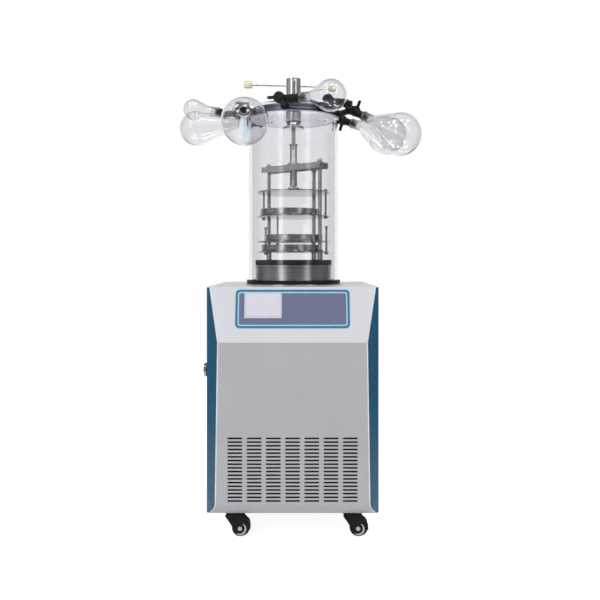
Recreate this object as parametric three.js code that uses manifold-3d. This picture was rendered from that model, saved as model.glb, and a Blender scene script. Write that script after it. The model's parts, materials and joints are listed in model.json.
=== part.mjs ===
// Top-press manifold freeze dryer: a castor-mounted refrigeration cabinet with a cold trap in its top,
// a clear drying chamber over the trap, a screw-driven stoppering rack inside it, and flasks on rubber
// valves around the manifold ring under the lid.
// Millimetres, +Z up, front towards -Y. Z = 0 is the floor; the chamber axis is x = y = 0 while the
// pieces are made, and the whole group is then shifted so that the origin is below the middle of its box.

import * as THREE from 'three';
import { mergeVertices } from 'three/addons/utils/BufferGeometryUtils.js';
import Module from 'manifold-3d';

const wasm = await Module();
wasm.setup();

// ---------------------------------------------------------------- driving dimensions

const gap = 0.3;                  // clearance left between pieces that touch
const sheet = 1.5;                // cabinet sheet metal
const bigRound = 32;              // sides of the large round pieces
const smallRound = 10;            // and of rods, pins and tubes

const castorHeight = 74;          // floor to cabinet underside
const cabinetWidth = 518;
const cabinetDepth = 600;
const cabinetTop = 753;
const bendHeight = 590;           // front panel below, sloping fascia above
const kneeHeight = 116;           // the front turns under below this
const fasciaSetback = 37;         // how far the front lies back at the top,
const frontLean = 11;             // at the knee
const kneeSetback = 42;           // and at the bottom
const chamferWidth = 38;          // vertical chamfer of the two front corners, across
const chamferDepth = 50;          // and back

const louvreColumns = 7;
const louvreRows = 18;
const louvreWidth = 44;
const louvreHeight = 5.3;
const louvrePitchX = 56.8;
const louvrePitchZ = 10.95;
const louvreTop = 310;

const overlayWidth = 340;         // control overlay on the fascia
const overlayHeight = 116;
const overlayThickness = 1;
const overlayCorner = 12;
const overlayRise = 101;          // its middle, up the slope from the bend
const screenWidth = 112;
const screenHeight = 80;
const screenDepth = 16;
const screenX = -88;
const screenRise = 12;            // above the overlay's middle

const ventRows = 8;               // vents of the rear panel
const ventHalf = 120;
const ventHeight = 7;
const ventPitch = 22;
const ventBottom = 90;            // above the cabinet's underside
const inletX = 180;               // mains inlet on the rear panel
const inletZ = castorHeight + 70;
const inletPins = [-8, 0, 8];

const panFloor = 3;
const panLip = 25;
const panWall = 2;
const socketRadius = 11;

const castorX = cabinetWidth / 2 - 81;
const castorY = cabinetDepth / 2 - 62;
const wheelRadius = 25;
const wheelWidth = 20;
const wheelTrail = 19;
const axleRadius = 4;
const stemRadius = 6;
const stemLength = 22;
const forkWidth = 30;
const forkPlate = 3;

const trapRadius = 120;           // cold trap pot
const trapDepth = 230;
const trapWall = 2;
const trapFlange = 3;

const compressorRadius = 78;
const compressorHeight = 200;
const mountRadius = 11;           // its rubber feet
const mountHeight = 12;
const mountInset = 14;
const mountPlate = 4;
const compressorX = -120;
const compressorY = cabinetDepth / 2 - 190;
const condenserWidth = 330;
const condenserHeight = 236;
const condenserCore = 44;
const finPitch = 40;              // grooves between its fin packs
const finGroove = 6;
const finMargin = 12;
const condenserFront = 64 - cabinetDepth / 2; // front face of the core
const shroudDepth = 44;
const fanRadius = 92;
const fanHub = 26;
const fanBlades = 5;
const bladeHalf = 26;
const bladeThickness = 2.4;
const bladePitch = 25;            // degrees
const fanShaft = 4;
const motorRadius = 34;
const motorLength = 56;

const portY = -60;                // vacuum port on the left side
const portZ = 474;
const portReach = 34;
const portBore = 9;
const portFlangeRadius = 23;

const chamberRadius = 150;        // clear chamber tube
const chamberWall = 8;
const trapFlangeRadius = chamberRadius + 15;
const sealHeight = 12;
const sealGroove = 6;
const sealLip = 8;
const drumRadius = 128.5;         // stainless drum that carries the rack
const drumWall = 1.5;
const deckBottom = 818;
const deckTop = 835;
const deckBore = 88;

const ringBottom = 1309;          // manifold ring
const ringTop = 1331;
const ringRadius = chamberRadius + 3;
const ringBore = chamberRadius - 12;
const lidRadius = chamberRadius + 2;
const lidThickness = 10;
const glandRadius = 26.5;
const glandNeck = 16;
const glandBottom = 1285;

const hubRadius = 25.5;           // press handle
const hubTop = 1446;
const barHeight = 1423;
const barRadius = 3.3;
const barHalf = 158;
const barOffset = -10;            // the bar sits off centre in its hub
const barAngle = 6.5;
const knobRadius = 12.5;
const knobLength = 29;
const knobGrip = 16;              // bar length inside each knob
const shaftRadius = 7;
const shaftEngagement = 70;       // shaft length inside the press screw's socket
const collarRadius = 36;
const collarThickness = 9;

const screwRadius = 13;           // press screw
const screwTop = 1225;
const screwBottom = 1083;
const screwTip = 8;
const screwCollar = 3;            // how far its top collar stands out
const screwCollarHeight = 4;

const yokeTop = 1155;
const yokeAngle = -36;
const yokeHalf = 122;
const yokeWidth = 50;
const yokePlate = 3;
const yokeFlange = 20;
const yokeArmWidth = 34;
const nutRadius = 20;
const nutHeight = 7;

const postRadius = 6;
const postCircle = 107;
const rearPostCircle = 112;
const rearPostAngle = 50;
const legRadius = 9;
const studRadius = 4;
const acornRadius = 9;
const acornHeight = 15;
const postClearance = 1;          // around a post, in every sliding plate

const shelfRadius = 121;
const shelfThickness = 3;
const pressThickness = 4;
const shelf3Z = 860;              // undersides of the plates, from the bottom
const shelf2Z = 894;
const shelf1Z = 978.5;
const pressZ = 1059;
const bossRadius = 20;
const bossHeight = 16;
const rodRadius = 3.5;            // hanger rods
const rodCircle = 112;
const rodHead = 6;
const rodHeadHeight = 7;
const rodClearance = 0.8;
const stopRodTop = 948;           // top of the stop rods on the lowest shelf
const pressHangerAngles = [158, -18];
const shelfHangerAngles = [121, -55];
const stopRodAngles = [151, -11];

const trayRadius = 100;
const trayHeight = 21.5;
const trayWall = 1.2;
const trayShift = [20.4, 0, 15];  // how far each tray, from the top, is pulled towards the open side
const openSide = -126;            // direction of the rack's open side, degrees

const valveCircle = chamberRadius + 46; // valve centres
const valveHeight = 1334;
const stemPlug = 6.5;             // the part of a valve inside the ring
const valveStem = 11;
const barrelRadius = 16;
const barrelHalf = 18;
const outletRadius = 12.5;
const outletLength = 60;
const nozzleRadius = 11.5;
const nozzleLength = 15;
const valveKnobRadius = 18;
const valveKnobDepth = 12;
const valvePin = 5;
const valvePinLength = 14;
const leverReach = 38;
const leverWidth = 8;

const neckRadius = 16.5;          // flasks
const neckLength = 38;
const glass = 2.4;

// Each valve: the port's direction on the ring, its outlet's direction and rise, the direction that the
// knob faces, the way its lever points, and the bulb radius of its flask and its reach from the mouth.
const valves = [
  { name: 'left', port: 170, outlet: -174, rise: 5.5, knob: -84, lever: 'up', bulb: 35.5, reach: 90 },
  { name: 'front_left', port: 215, outlet: -84, rise: -25, knob: -174, lever: 'back', bulb: 72, reach: 165 },
  { name: 'front', port: -100, outlet: -24, rise: -2, knob: -114, lever: 'back', bulb: 50, reach: 103 },
  { name: 'front_right', port: -55, outlet: -10, rise: -10, knob: -100, lever: 'down' },
  { name: 'right', port: -10, outlet: -44, rise: -28, knob: 46, lever: 'up', bulb: 69, reach: 165 },
  { name: 'rear_right', port: 35, outlet: -38, rise: -21, knob: 52, lever: 'down', bulb: 69, reach: 150 },
  { name: 'rear_left', port: 125, outlet: -167, rise: -8, knob: 103, lever: 'up', bulb: 61, reach: 180 },
];

// ---------------------------------------------------------------- geometry helpers

const radians = THREE.MathUtils.degToRad;
const vector = (x, y, z) => new THREE.Vector3(x, y, z);

// A point or a direction from a horizontal angle, a radius and a height.
function polar(angle, radius, z = 0) {
  return vector(radius * Math.cos(radians(angle)), radius * Math.sin(radians(angle)), z);
}

// A unit direction from its horizontal angle and its rise.
function heading(angle, rise) {
  return polar(angle, Math.cos(radians(rise)), Math.sin(radians(rise)));
}

// A three.js geometry as a solid that can be joined and cut.
function solid(geometry) {
  const plain = geometry.clone();
  plain.deleteAttribute('normal');
  plain.deleteAttribute('uv');
  const merged = mergeVertices(plain, 1e-4);
  const index = merged.index.array;
  const triangles = [];
  for (let i = 0; i < index.length; i += 3) {
    const [a, b, c] = [index[i], index[i + 1], index[i + 2]];
    if (a !== b && b !== c && c !== a) triangles.push(a, b, c);
  }
  return new wasm.Manifold(new wasm.Mesh({
    numProp: 3,
    vertProperties: Float32Array.from(merged.attributes.position.array),
    triVerts: Uint32Array.from(triangles),
  }));
}

// A solid as a three.js geometry.
function surface(body) {
  const mesh = body.getMesh();
  const positions = new Float32Array((mesh.vertProperties.length / mesh.numProp) * 3);
  for (let i = 0; i < positions.length / 3; i++) {
    positions.set(mesh.vertProperties.subarray(i * mesh.numProp, i * mesh.numProp + 3), i * 3);
  }
  const geometry = new THREE.BufferGeometry();
  geometry.setAttribute('position', new THREE.BufferAttribute(positions, 3));
  geometry.setIndex(Array.from(mesh.triVerts));
  geometry.computeVertexNormals();
  return geometry;
}

const join = (...bodies) => bodies.reduce((whole, body) => whole.add(body));
const cut = (body, ...tools) => tools.reduce((whole, tool) => whole.subtract(tool), body);
const common = (...bodies) => bodies.reduce((whole, body) => whole.intersect(body));

// A box between two corners.
function block(x0, x1, y0, y1, z0, z1) {
  const geometry = new THREE.BoxGeometry(x1 - x0, y1 - y0, z1 - z0);
  return solid(geometry.translate((x0 + x1) / 2, (y0 + y1) / 2, (z0 + z1) / 2));
}

// A round bar from one point to another.
function rod(radius, from, to, sides = smallRound) {
  const along = to.clone().sub(from);
  const geometry = new THREE.CylinderGeometry(radius, radius, along.length(), sides);
  const turn = new THREE.Quaternion().setFromUnitVectors(vector(0, 1, 0), along.clone().normalize());
  const middle = from.clone().add(to).multiplyScalar(0.5);
  return solid(geometry.applyQuaternion(turn).translate(middle.x, middle.y, middle.z));
}

// An upright round bar.
const upright = (radius, x, y, z0, z1, sides) => rod(radius, vector(x, y, z0), vector(x, y, z1), sides);

// A tool for a round hole, its flats no nearer than the radius, so that a round bar clears them.
const drill = (radius, from, to, sides = smallRound) => (
  rod(radius / Math.cos(Math.PI / sides), from, to, sides)
);
const drillDown = (radius, x, y, z0, z1, sides) => drill(radius, vector(x, y, z0), vector(x, y, z1), sides);

// A solid turned about the Z axis from a closed outline of [radius, z] points.
function turned(outline, sides = bigRound) {
  const area = outline.reduce((sum, [r, z], i) => {
    const [nextR, nextZ] = outline[(i + 1) % outline.length];
    return sum + r * nextZ - nextR * z;
  }, 0);
  const ordered = area > 0 ? outline : [...outline].reverse();
  const points = [...ordered, ordered[0]].map(([r, z]) => new THREE.Vector2(r, z));
  return solid(new THREE.LatheGeometry(points, sides).rotateX(Math.PI / 2));
}

// A flat outline of [x, y] points, pushed up from z0 to z1.
function raised(outline, z0, z1) {
  const shape = new THREE.Shape(outline.map(([x, y]) => new THREE.Vector2(x, y)));
  const geometry = new THREE.ExtrudeGeometry(shape, { depth: z1 - z0, bevelEnabled: false });
  return solid(geometry.translate(0, 0, z0));
}

// An outline of [y, z] points, pushed across from x0 to x1.
function crosswise(outline, x0, x1) {
  const shape = new THREE.Shape(outline.map(([y, z]) => new THREE.Vector2(y, z)));
  const geometry = new THREE.ExtrudeGeometry(shape, { depth: x1 - x0, bevelEnabled: false });
  geometry.rotateZ(Math.PI / 2).rotateY(Math.PI / 2);
  return solid(geometry.translate(x0, 0, 0));
}

// A convex counter-clockwise outline moved in by a distance.
function inset(outline, distance) {
  const edges = outline.map(([x, y], i) => {
    const [nextX, nextY] = outline[(i + 1) % outline.length];
    const length = Math.hypot(nextX - x, nextY - y);
    const [dx, dy] = [(nextX - x) / length, (nextY - y) / length];
    return { x: x - dy * distance, y: y + dx * distance, dx, dy };
  });
  return edges.map((edge, i) => {
    const before = edges[(i + edges.length - 1) % edges.length];
    const across = before.dx * edge.dy - before.dy * edge.dx;
    const along = ((edge.x - before.x) * edge.dy - (edge.y - before.y) * edge.dx) / across;
    return [before.x + before.dx * along, before.y + before.dy * along];
  });
}

// A rectangle with rounded corners, as an outline around its middle.
function roundedRectangle(width, height, corner, steps = 3) {
  const outline = [];
  const turns = [[1, 1, 0], [-1, 1, 90], [-1, -1, 180], [1, -1, 270]];
  for (const [sideX, sideY, start] of turns) {
    for (let i = 0; i <= steps; i++) {
      const angle = radians(start + (90 * i) / steps);
      outline.push([
        sideX * (width / 2 - corner) + corner * Math.cos(angle),
        sideY * (height / 2 - corner) + corner * Math.sin(angle),
      ]);
    }
  }
  return outline;
}

// ---------------------------------------------------------------- the assembly

const object = new THREE.Group();

// Adds one named piece to a group, with a material of its own.
function piece(name, body, [color, roughness, metalness], parent = object) {
  const material = new THREE.MeshStandardMaterial({ color, roughness, metalness });
  const mesh = new THREE.Mesh(surface(body), material);
  mesh.name = name;
  parent.add(mesh);
  return mesh;
}

const bluePaint = [0x2f6a8e, 0.35, 0.1];
const greyPaint = [0xb0b1b6, 0.45, 0.1];
const whitePaint = [0xe2e2e8, 0.4, 0.1];
const darkPlastic = [0x2a2e36, 0.5, 0];
const blackRubber = [0x1c1d20, 0.7, 0];
const stainless = [0xb9bbbf, 0.3, 1];
const clearAcrylic = [0xe8eef0, 0.1, 0];
const clearGlass = [0xeaf3f4, 0.05, 0];
const creamPlastic = [0xe6e2c0, 0.45, 0];

// ---------------------------------------------------------------- cabinet

const left = -cabinetWidth / 2;
const right = cabinetWidth / 2;
const front = -cabinetDepth / 2;
const rear = cabinetDepth / 2;

const plan = [
  [left, front + chamferDepth],
  [left + chamferWidth, front],
  [right - chamferWidth, front],
  [right, front + chamferDepth],
  [right, rear],
  [left, rear],
];

// The front seen from the side, from the bottom up, moved back by a distance.
const frontLine = (back) => [
  [front + kneeSetback + back, castorHeight],
  [front + frontLean + back, kneeHeight],
  [front + back, bendHeight],
  [front + fasciaSetback + back, cabinetTop],
];

// All that lies behind the front, moved back by a distance.
const behindFront = (back) => (
  crosswise([...frontLine(back), [rear, cabinetTop], [rear, castorHeight]], left, right)
);

function makeCabinet() {
  const envelope = common(raised(plan, castorHeight, cabinetTop), behindFront(0));
  const skin = cut(envelope, behindFront(sheet));
  const underTop = cabinetTop - sheet;

  const sideShell = cut(
    common(envelope, behindFront(sheet + gap)),
    raised(inset(plan, sheet), castorHeight - 1, cabinetTop + 1),
    block(left - 1, right + 1, rear - sheet - gap, rear + 1, castorHeight - 1, cabinetTop + 1),
    block(left - 1, right + 1, front - 1, rear + 1, underTop - gap, cabinetTop + 1),
  );
  const portHole = drill(portBore + 4, vector(left - 5, portY, portZ), vector(left + 5, portY, portZ));
  const leftHalf = block(left - 1, 0, front - 1, rear + 1, castorHeight - 1, cabinetTop + 1);
  piece('side_panel_left', cut(common(sideShell, leftHalf), portHole), bluePaint);
  piece('side_panel_right', cut(sideShell, leftHalf), bluePaint);

  const seam = bendHeight - gap / 2;
  const frontPanel = common(skin, block(left, right, front - 1, rear, castorHeight, seam));
  piece('front_panel', cut(frontPanel, louvres()), greyPaint);

  const fascia = common(skin, block(left, right, front - 1, rear, seam + gap, cabinetTop));
  const topPlate = common(envelope, block(left, right, front, rear, underTop, cabinetTop));
  const trapHole = drillDown(trapRadius + 1, 0, 0, underTop - 1, cabinetTop + 1, bigRound);
  piece('top_cover', cut(join(fascia, topPlate), trapHole, screenWindow()), whitePaint);

  piece('rear_panel', makeRearPanel(underTop - gap), greyPaint);
  piece('base_pan', makeBasePan(), greyPaint);
}

// One tool that cuts every louvre slot of the front panel.
function louvres() {
  const slots = [];
  const firstX = (-(louvreColumns - 1) / 2) * louvrePitchX;
  for (let column = 0; column < louvreColumns; column++) {
    for (let row = 0; row < louvreRows; row++) {
      const x = firstX + column * louvrePitchX;
      const z = louvreTop - row * louvrePitchZ;
      slots.push(block(x - louvreWidth / 2, x + louvreWidth / 2, front - 5, front + 40, z - louvreHeight, z));
    }
  }
  return join(...slots);
}

function makeRearPanel(top) {
  const inner = sheet + gap;
  const panel = block(left + inner, right - inner, rear - sheet, rear, castorHeight, top);
  const vents = [];
  for (let row = 0; row < ventRows; row++) {
    const z = castorHeight + ventBottom + row * ventPitch;
    vents.push(block(-ventHalf, ventHalf, rear - 10, rear + 10, z, z + ventHeight));
  }
  const housing = block(inletX - 25, inletX + 25, rear - 24, rear + 4, inletZ - 16, inletZ + 16);
  const recess = block(inletX - 14, inletX + 14, rear - 16, rear + 5, inletZ - 9, inletZ + 9);
  const pins = inletPins.map((x) => (
    block(inletX + x - 1, inletX + x + 1, rear - 18, rear, inletZ - 3, inletZ + 3)
  ));
  return join(cut(join(cut(panel, ...vents), housing), recess), ...pins);
}

// The folded floor pan, with a socket for each castor's stem.
function makeBasePan() {
  const outline = inset(plan, sheet + gap);
  const walls = common(raised(outline, castorHeight, castorHeight + panLip), behindFront(sheet + gap));
  const hollow = common(
    raised(inset(outline, panWall), castorHeight + panFloor, castorHeight + panLip + 1),
    behindFront(sheet + gap + panWall),
  );
  const rearSlot = block(left, right, rear - sheet - gap, rear + 1, castorHeight, castorHeight + panLip);
  let pan = cut(walls, hollow, rearSlot);
  for (const [x, y] of castorPlaces()) {
    pan = pan.add(upright(socketRadius, x, y, castorHeight, castorHeight + stemLength + 3));
  }
  for (const [x, y] of castorPlaces()) {
    pan = pan.subtract(drillDown(stemRadius + gap, x, y, castorHeight - 1, castorHeight + stemLength + gap));
  }
  return pan;
}

// ---------------------------------------------------------------- control panel

const fasciaSlope = Math.atan2(cabinetTop - bendHeight, fasciaSetback);

// A group on the fascia's outer face: x across, y up the slope, z out of it, at the overlay's middle.
function fasciaGroup() {
  const group = new THREE.Group();
  group.position.set(
    0,
    front + overlayRise * Math.cos(fasciaSlope),
    bendHeight + overlayRise * Math.sin(fasciaSlope),
  );
  group.rotation.x = fasciaSlope;
  return group;
}

const screenBlock = (grow, z0, z1) => block(
  screenX - screenWidth / 2 - grow, screenX + screenWidth / 2 + grow,
  screenRise - screenHeight / 2 - grow, screenRise + screenHeight / 2 + grow,
  z0, z1,
);

// The cut that the screen module needs in the fascia, in the cabinet's frame.
function screenWindow() {
  const group = fasciaGroup();
  group.updateMatrix();
  return screenBlock(gap * 2, -screenDepth, 5).transform(group.matrix.toArray());
}

function makeControls() {
  const group = fasciaGroup();
  object.add(group);
  const outline = roundedRectangle(overlayWidth, overlayHeight, overlayCorner);
  const overlay = cut(raised(outline, gap, gap + overlayThickness), screenBlock(gap, -1, 3));
  piece('control_overlay', overlay, [0x6e7496, 0.4, 0], group);
  piece('touchscreen', screenBlock(0, -screenDepth, gap + overlayThickness - 0.4), [0xd8d4ea, 0.2, 0], group);
}

// ---------------------------------------------------------------- castors

const castorPlaces = () => [
  [-castorX, -castorY], [castorX, -castorY], [-castorX, castorY], [castorX, castorY],
];

function makeCastors() {
  const names = ['front_left', 'front_right', 'rear_left', 'rear_right'];
  castorPlaces().forEach(([x, y], i) => {
    const group = new THREE.Group();
    group.position.set(x, y, 0);
    object.add(group);
    piece(`castor_fork_${names[i]}`, makeFork(), darkPlastic, group);
    piece(`castor_wheel_${names[i]}`, makeWheel(), blackRubber, group);
  });
}

// Hooded fork: two side plates, the crown between them, the swivel stem and the axle.
function makeFork() {
  const crownTop = castorHeight - gap * 2;
  const crownBottom = crownTop - 6;
  const axle = [wheelTrail, wheelRadius];
  const tip = axleRadius + 4;
  const side = [
    [-28, crownBottom + 2], [-28, crownBottom - 6], [axle[0] - tip - 8, axle[1] + 4],
    [axle[0] - tip + 2, axle[1] - tip + 2], [axle[0], axle[1] - tip], [axle[0] + tip, axle[1]],
    [axle[0] + tip + 8, axle[1] + 14], [30, crownBottom + 2],
  ];
  const half = forkWidth / 2;
  const plate = (y) => {
    const shape = new THREE.Shape(side.map(([x, z]) => new THREE.Vector2(x, z)));
    const geometry = new THREE.ExtrudeGeometry(shape, { depth: forkPlate, bevelEnabled: false });
    return solid(geometry.rotateX(Math.PI / 2).translate(0, y + forkPlate, 0));
  };
  return join(
    plate(-half),
    plate(half - forkPlate),
    block(-28, 30, -half, half, crownBottom, crownTop - 3),
    upright(20, 0, 0, crownTop - 4, crownTop, 12),
    upright(stemRadius, 0, 0, crownTop - 1, castorHeight + stemLength),
    rod(axleRadius, vector(wheelTrail, -half - 1, wheelRadius), vector(wheelTrail, half + 1, wheelRadius)),
  );
}

function makeWheel() {
  const half = wheelWidth / 2;
  const bore = axleRadius + gap;
  const wheel = turned([
    [bore, -half], [16, -half + 2], [wheelRadius - 3, -half], [wheelRadius, -half + 3],
    [wheelRadius, half - 3], [wheelRadius - 3, half], [16, half - 2], [bore, half],
  ], 18);
  return wheel.rotate([90, 0, 0]).translate([wheelTrail, 0, wheelRadius]);
}

// ---------------------------------------------------------------- refrigeration and vacuum

function makeColdTrap() {
  const top = cabinetTop + gap + trapFlange;
  const bottom = cabinetTop - trapDepth;
  const inner = trapRadius - trapWall;
  return turned([
    [0, bottom], [trapRadius - 12, bottom], [trapRadius, bottom + 12],
    [trapRadius, cabinetTop + gap], [trapFlangeRadius, cabinetTop + gap], [trapFlangeRadius, top],
    [inner, top], [inner, bottom + 13], [inner - 11, bottom + trapWall], [0, bottom + trapWall],
  ], bigRound);
}

function makeCompressor() {
  const floor = castorHeight + panFloor + gap;
  const base = floor + mountHeight;
  const r = compressorRadius;
  const can = turned([
    [0, base + 3], [r - 16, base + 3], [r, base + 22], [r, base + compressorHeight - 45],
    [r - 10, base + compressorHeight - 18], [r - 40, base + compressorHeight], [0, base + compressorHeight],
  ], 24);
  const foot = r + 4;
  const plate = block(-foot, foot, -foot, foot, base, base + mountPlate);
  const feet = [[-1, -1], [1, -1], [1, 1], [-1, 1]].map(([sx, sy]) => (
    upright(mountRadius, sx * (foot - mountInset), sy * (foot - mountInset), floor, base + 2, 12)
  ));
  return join(can, plate, ...feet).translate([compressorX, compressorY, 0]);
}

const fanZ = castorHeight + panFloor + gap + condenserHeight / 2;
const motorFront = condenserFront + condenserCore + shroudDepth;

// Finned core, fan shroud behind it, and the fan motor on its bars.
function makeCondenser() {
  const floor = castorHeight + panFloor + gap;
  const half = condenserWidth / 2;
  const back = condenserFront + condenserCore;
  const core = block(-half, half, condenserFront, back, floor, floor + condenserHeight);
  const grooves = [];
  for (let x = -half + finPitch / 2; x < half - finPitch / 4; x += finPitch) {
    grooves.push(block(
      x, x + finGroove, condenserFront - 1, condenserFront + 8,
      floor + finMargin, floor + condenserHeight - finMargin,
    ));
  }
  const box = block(-half, half, back, back + shroudDepth, floor, floor + condenserHeight);
  const onAxis = (y) => vector(0, y, fanZ);
  const duct = drill(fanRadius + 8, onAxis(back + 0.01), onAxis(back + shroudDepth + 1), 24);
  const motor = rod(motorRadius, onAxis(motorFront - 6), onAxis(motorFront + motorLength), 16);
  const shaft = rod(fanShaft, onAxis(motorFront - 26), onAxis(motorFront), 12);
  const bars = [0, 90].map((angle) => (
    block(-fanRadius - 14, fanRadius + 14, motorFront - 4, motorFront + 4, -6, 6)
      .rotate([0, angle, 0]).translate([0, 0, fanZ])
  ));
  return join(cut(core, ...grooves), cut(box, duct), motor, shaft, ...bars);
}

function makeFan() {
  const y0 = motorFront - 36;
  const y1 = motorFront - 10;
  const blades = [];
  for (let i = 0; i < fanBlades; i++) {
    blades.push(
      block(fanHub - 4, fanRadius, -bladeThickness / 2, bladeThickness / 2, -bladeHalf, bladeHalf)
        .rotate([bladePitch, 0, 0])
        .rotate([0, (360 / fanBlades) * i, 0])
        .translate([0, (y0 + y1) / 2, fanZ]),
    );
  }
  const hub = rod(fanHub, vector(0, y0, fanZ), vector(0, y1, fanZ), 14);
  const bore = drill(fanShaft + gap, vector(0, motorFront - 27, fanZ), vector(0, y1 + 1, fanZ), 12);
  return cut(join(hub, ...blades), bore);
}

// Side port for the vacuum pump's hose: base flange on the panel, tube, and clamping flange.
function makeVacuumPort() {
  const tube = portBore + 3;
  const port = turned([
    [portBore, -16], [tube, -16], [tube, gap], [20, gap], [20, 4], [tube, 4], [tube, portReach - 11],
    [portFlangeRadius, portReach - 8], [portFlangeRadius, portReach], [portBore, portReach],
  ], 16);
  return port.rotate([0, -90, 0]).translate([left, portY, portZ]);
}

function makeInside() {
  piece('cold_trap', makeColdTrap(), stainless);
  piece('compressor', makeCompressor(), [0x1f2124, 0.5, 0.2]);
  piece('condenser', makeCondenser(), [0x6f7478, 0.5, 0.8]);
  piece('fan_rotor', makeFan(), [0x303338, 0.5, 0]);
  piece('vacuum_port', makeVacuumPort(), stainless);
}

// ---------------------------------------------------------------- chamber and lid

const flangeTop = cabinetTop + gap + trapFlange;
const sealBottom = flangeTop + gap;
const tubeBottom = sealBottom + sealHeight - sealGroove + gap;
const lidBottom = ringTop + gap;
const lidTop = lidBottom + lidThickness;

// The axis of a valve's stem crosses the middle of the ring's wall.
const stemStart = (angle) => polar(angle, (ringRadius + ringBore) / 2, (ringBottom + ringTop) / 2);
const valveCentre = (angle) => polar(angle, valveCircle, valveHeight);

function makeChamber() {
  const inner = chamberRadius - chamberWall;
  const sealTop = sealBottom + sealHeight;
  const groove = sealTop - sealGroove;
  piece('chamber_seal', turned([
    [inner - sealLip, sealBottom], [chamberRadius + sealLip, sealBottom],
    [chamberRadius + sealLip, sealTop], [chamberRadius + gap, sealTop], [chamberRadius + gap, groove],
    [inner - gap, groove], [inner - gap, sealTop], [inner - sealLip, sealTop],
  ], bigRound), blackRubber);
  piece('trap_drum', turned([
    [drumRadius - drumWall, sealBottom], [drumRadius, sealBottom],
    [drumRadius, deckBottom - gap], [drumRadius - drumWall, deckBottom - gap],
  ], bigRound), stainless);
  piece('rack_deck', turned([
    [deckBore, deckBottom], [drumRadius, deckBottom], [drumRadius, deckTop], [deckBore, deckTop],
  ], bigRound), blackRubber);
  piece('chamber_tube', turned([
    [inner, tubeBottom], [chamberRadius, tubeBottom],
    [chamberRadius, ringBottom - gap], [inner, ringBottom - gap],
  ], bigRound), clearAcrylic);

  const ring = turned([
    [ringBore, ringBottom], [ringRadius, ringBottom], [ringRadius, ringTop], [ringBore, ringTop],
  ], bigRound);
  const holes = valves.map(({ port }) => {
    const inward = stemStart(port).sub(valveCentre(port));
    return drill(stemPlug + gap, valveCentre(port), valveCentre(port).addScaledVector(inward, 2), 8);
  });
  piece('manifold_ring', cut(ring, ...holes), [0x2c3440, 0.4, 0.3]);

  piece('lid', turned([
    [glandNeck, lidBottom], [lidRadius, lidBottom], [lidRadius, lidTop - 2], [lidRadius - 2, lidTop],
    [glandNeck, lidTop],
  ], bigRound), clearAcrylic);
  piece('lid_gland', makeGland(), stainless);
}

// Polished gland under the lid: its neck fills the lid's hole, and the press shaft runs through it.
function makeGland() {
  const bore = shaftRadius + gap;
  const top = lidBottom - gap;
  const domeEnd = radians(65);
  const domeHeight = (top - glandBottom) * 0.42;
  const dome = [];
  for (let i = 0; i <= 3; i++) {
    const angle = (domeEnd * i) / 3;
    dome.push([
      glandRadius * Math.cos(angle),
      glandBottom + domeHeight * (1 - Math.sin(angle) / Math.sin(domeEnd)),
    ]);
  }
  return turned([
    [bore, lidTop], [glandNeck - gap, lidTop], [glandNeck - gap, top],
    [glandRadius, top], ...dome, [bore, glandBottom],
  ], 20);
}

// ---------------------------------------------------------------- press handle and screw

const collarTop = glandBottom - 1;
const shaftEnd = screwTop - shaftEngagement;

function makeHandle() {
  const hubBottom = lidTop + 0.8;
  const turnedPart = turned([
    [0, shaftEnd], [shaftRadius, shaftEnd], [shaftRadius, collarTop - collarThickness],
    [collarRadius, collarTop - collarThickness], [collarRadius, collarTop], [shaftRadius, collarTop],
    [shaftRadius, hubBottom], [hubRadius, hubBottom], [hubRadius, hubTop - 2],
    [hubRadius - 2, hubTop], [0, hubTop],
  ], 20);
  const group = new THREE.Group();
  group.rotation.z = radians(barAngle);
  object.add(group);
  const end = barHalf - knobLength + knobGrip;
  const barEnd = (side) => vector(barOffset + side * end, 0, barHeight);
  const bar = rod(barRadius, barEnd(-1), barEnd(1), 12);
  piece('handle', join(turnedPart, bar), stainless, group);
  for (const [name, side] of [['left', -1], ['right', 1]]) {
    piece(`handle_knob_${name}`, makeHandleKnob(side), creamPlastic, group);
  }
}

// A round grip with rounded rims, bored from its inner end for the bar.
function makeHandleKnob(side) {
  const bore = barRadius + gap;
  const knob = turned([
    [bore, 0], [knobRadius - 2, 0], [knobRadius, 2], [knobRadius, knobLength - 3],
    [knobRadius - 3, knobLength], [0, knobLength], [0, knobGrip + gap], [bore, knobGrip + gap],
  ], 16);
  return knob.rotate([0, 90 * side, 0]).translate([barOffset + side * (barHalf - knobLength), 0, barHeight]);
}

function makeScrew() {
  const bore = shaftRadius + gap;
  const socket = shaftEnd - 2;
  const tipBottom = pressZ + pressThickness + gap * 2;
  const collar = screwRadius + screwCollar;
  return turned([
    [0, tipBottom], [screwTip, tipBottom], [screwTip, screwBottom], [screwRadius - 2, screwBottom],
    [screwRadius, screwBottom + 3], [screwRadius, screwTop - screwCollarHeight],
    [collar, screwTop - screwCollarHeight], [collar, screwTop], [bore, screwTop], [bore, socket],
    [0, socket],
  ], 20);
}

// ---------------------------------------------------------------- stoppering rack

const posts = [
  polar(yokeAngle + 180, postCircle),
  polar(yokeAngle, postCircle),
  polar(rearPostAngle, rearPostCircle),
];

const cleared = (plate, places, radius, z0, z1) => places.reduce(
  (whole, { x, y }) => whole.subtract(drillDown(radius, x, y, z0 - 1, z1 + 1)),
  plate,
);

// A round plate with holes for the three posts and for the rods that slide through it.
function slidingPlate(z0, thickness, rodAngles) {
  const z1 = z0 + thickness;
  const disc = upright(shelfRadius, 0, 0, z0, z1, bigRound);
  const bored = cleared(disc, posts, postRadius + postClearance, z0, z1);
  return cleared(bored, rodAngles.map((angle) => polar(angle, rodCircle)), rodRadius + rodClearance, z0, z1);
}

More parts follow.
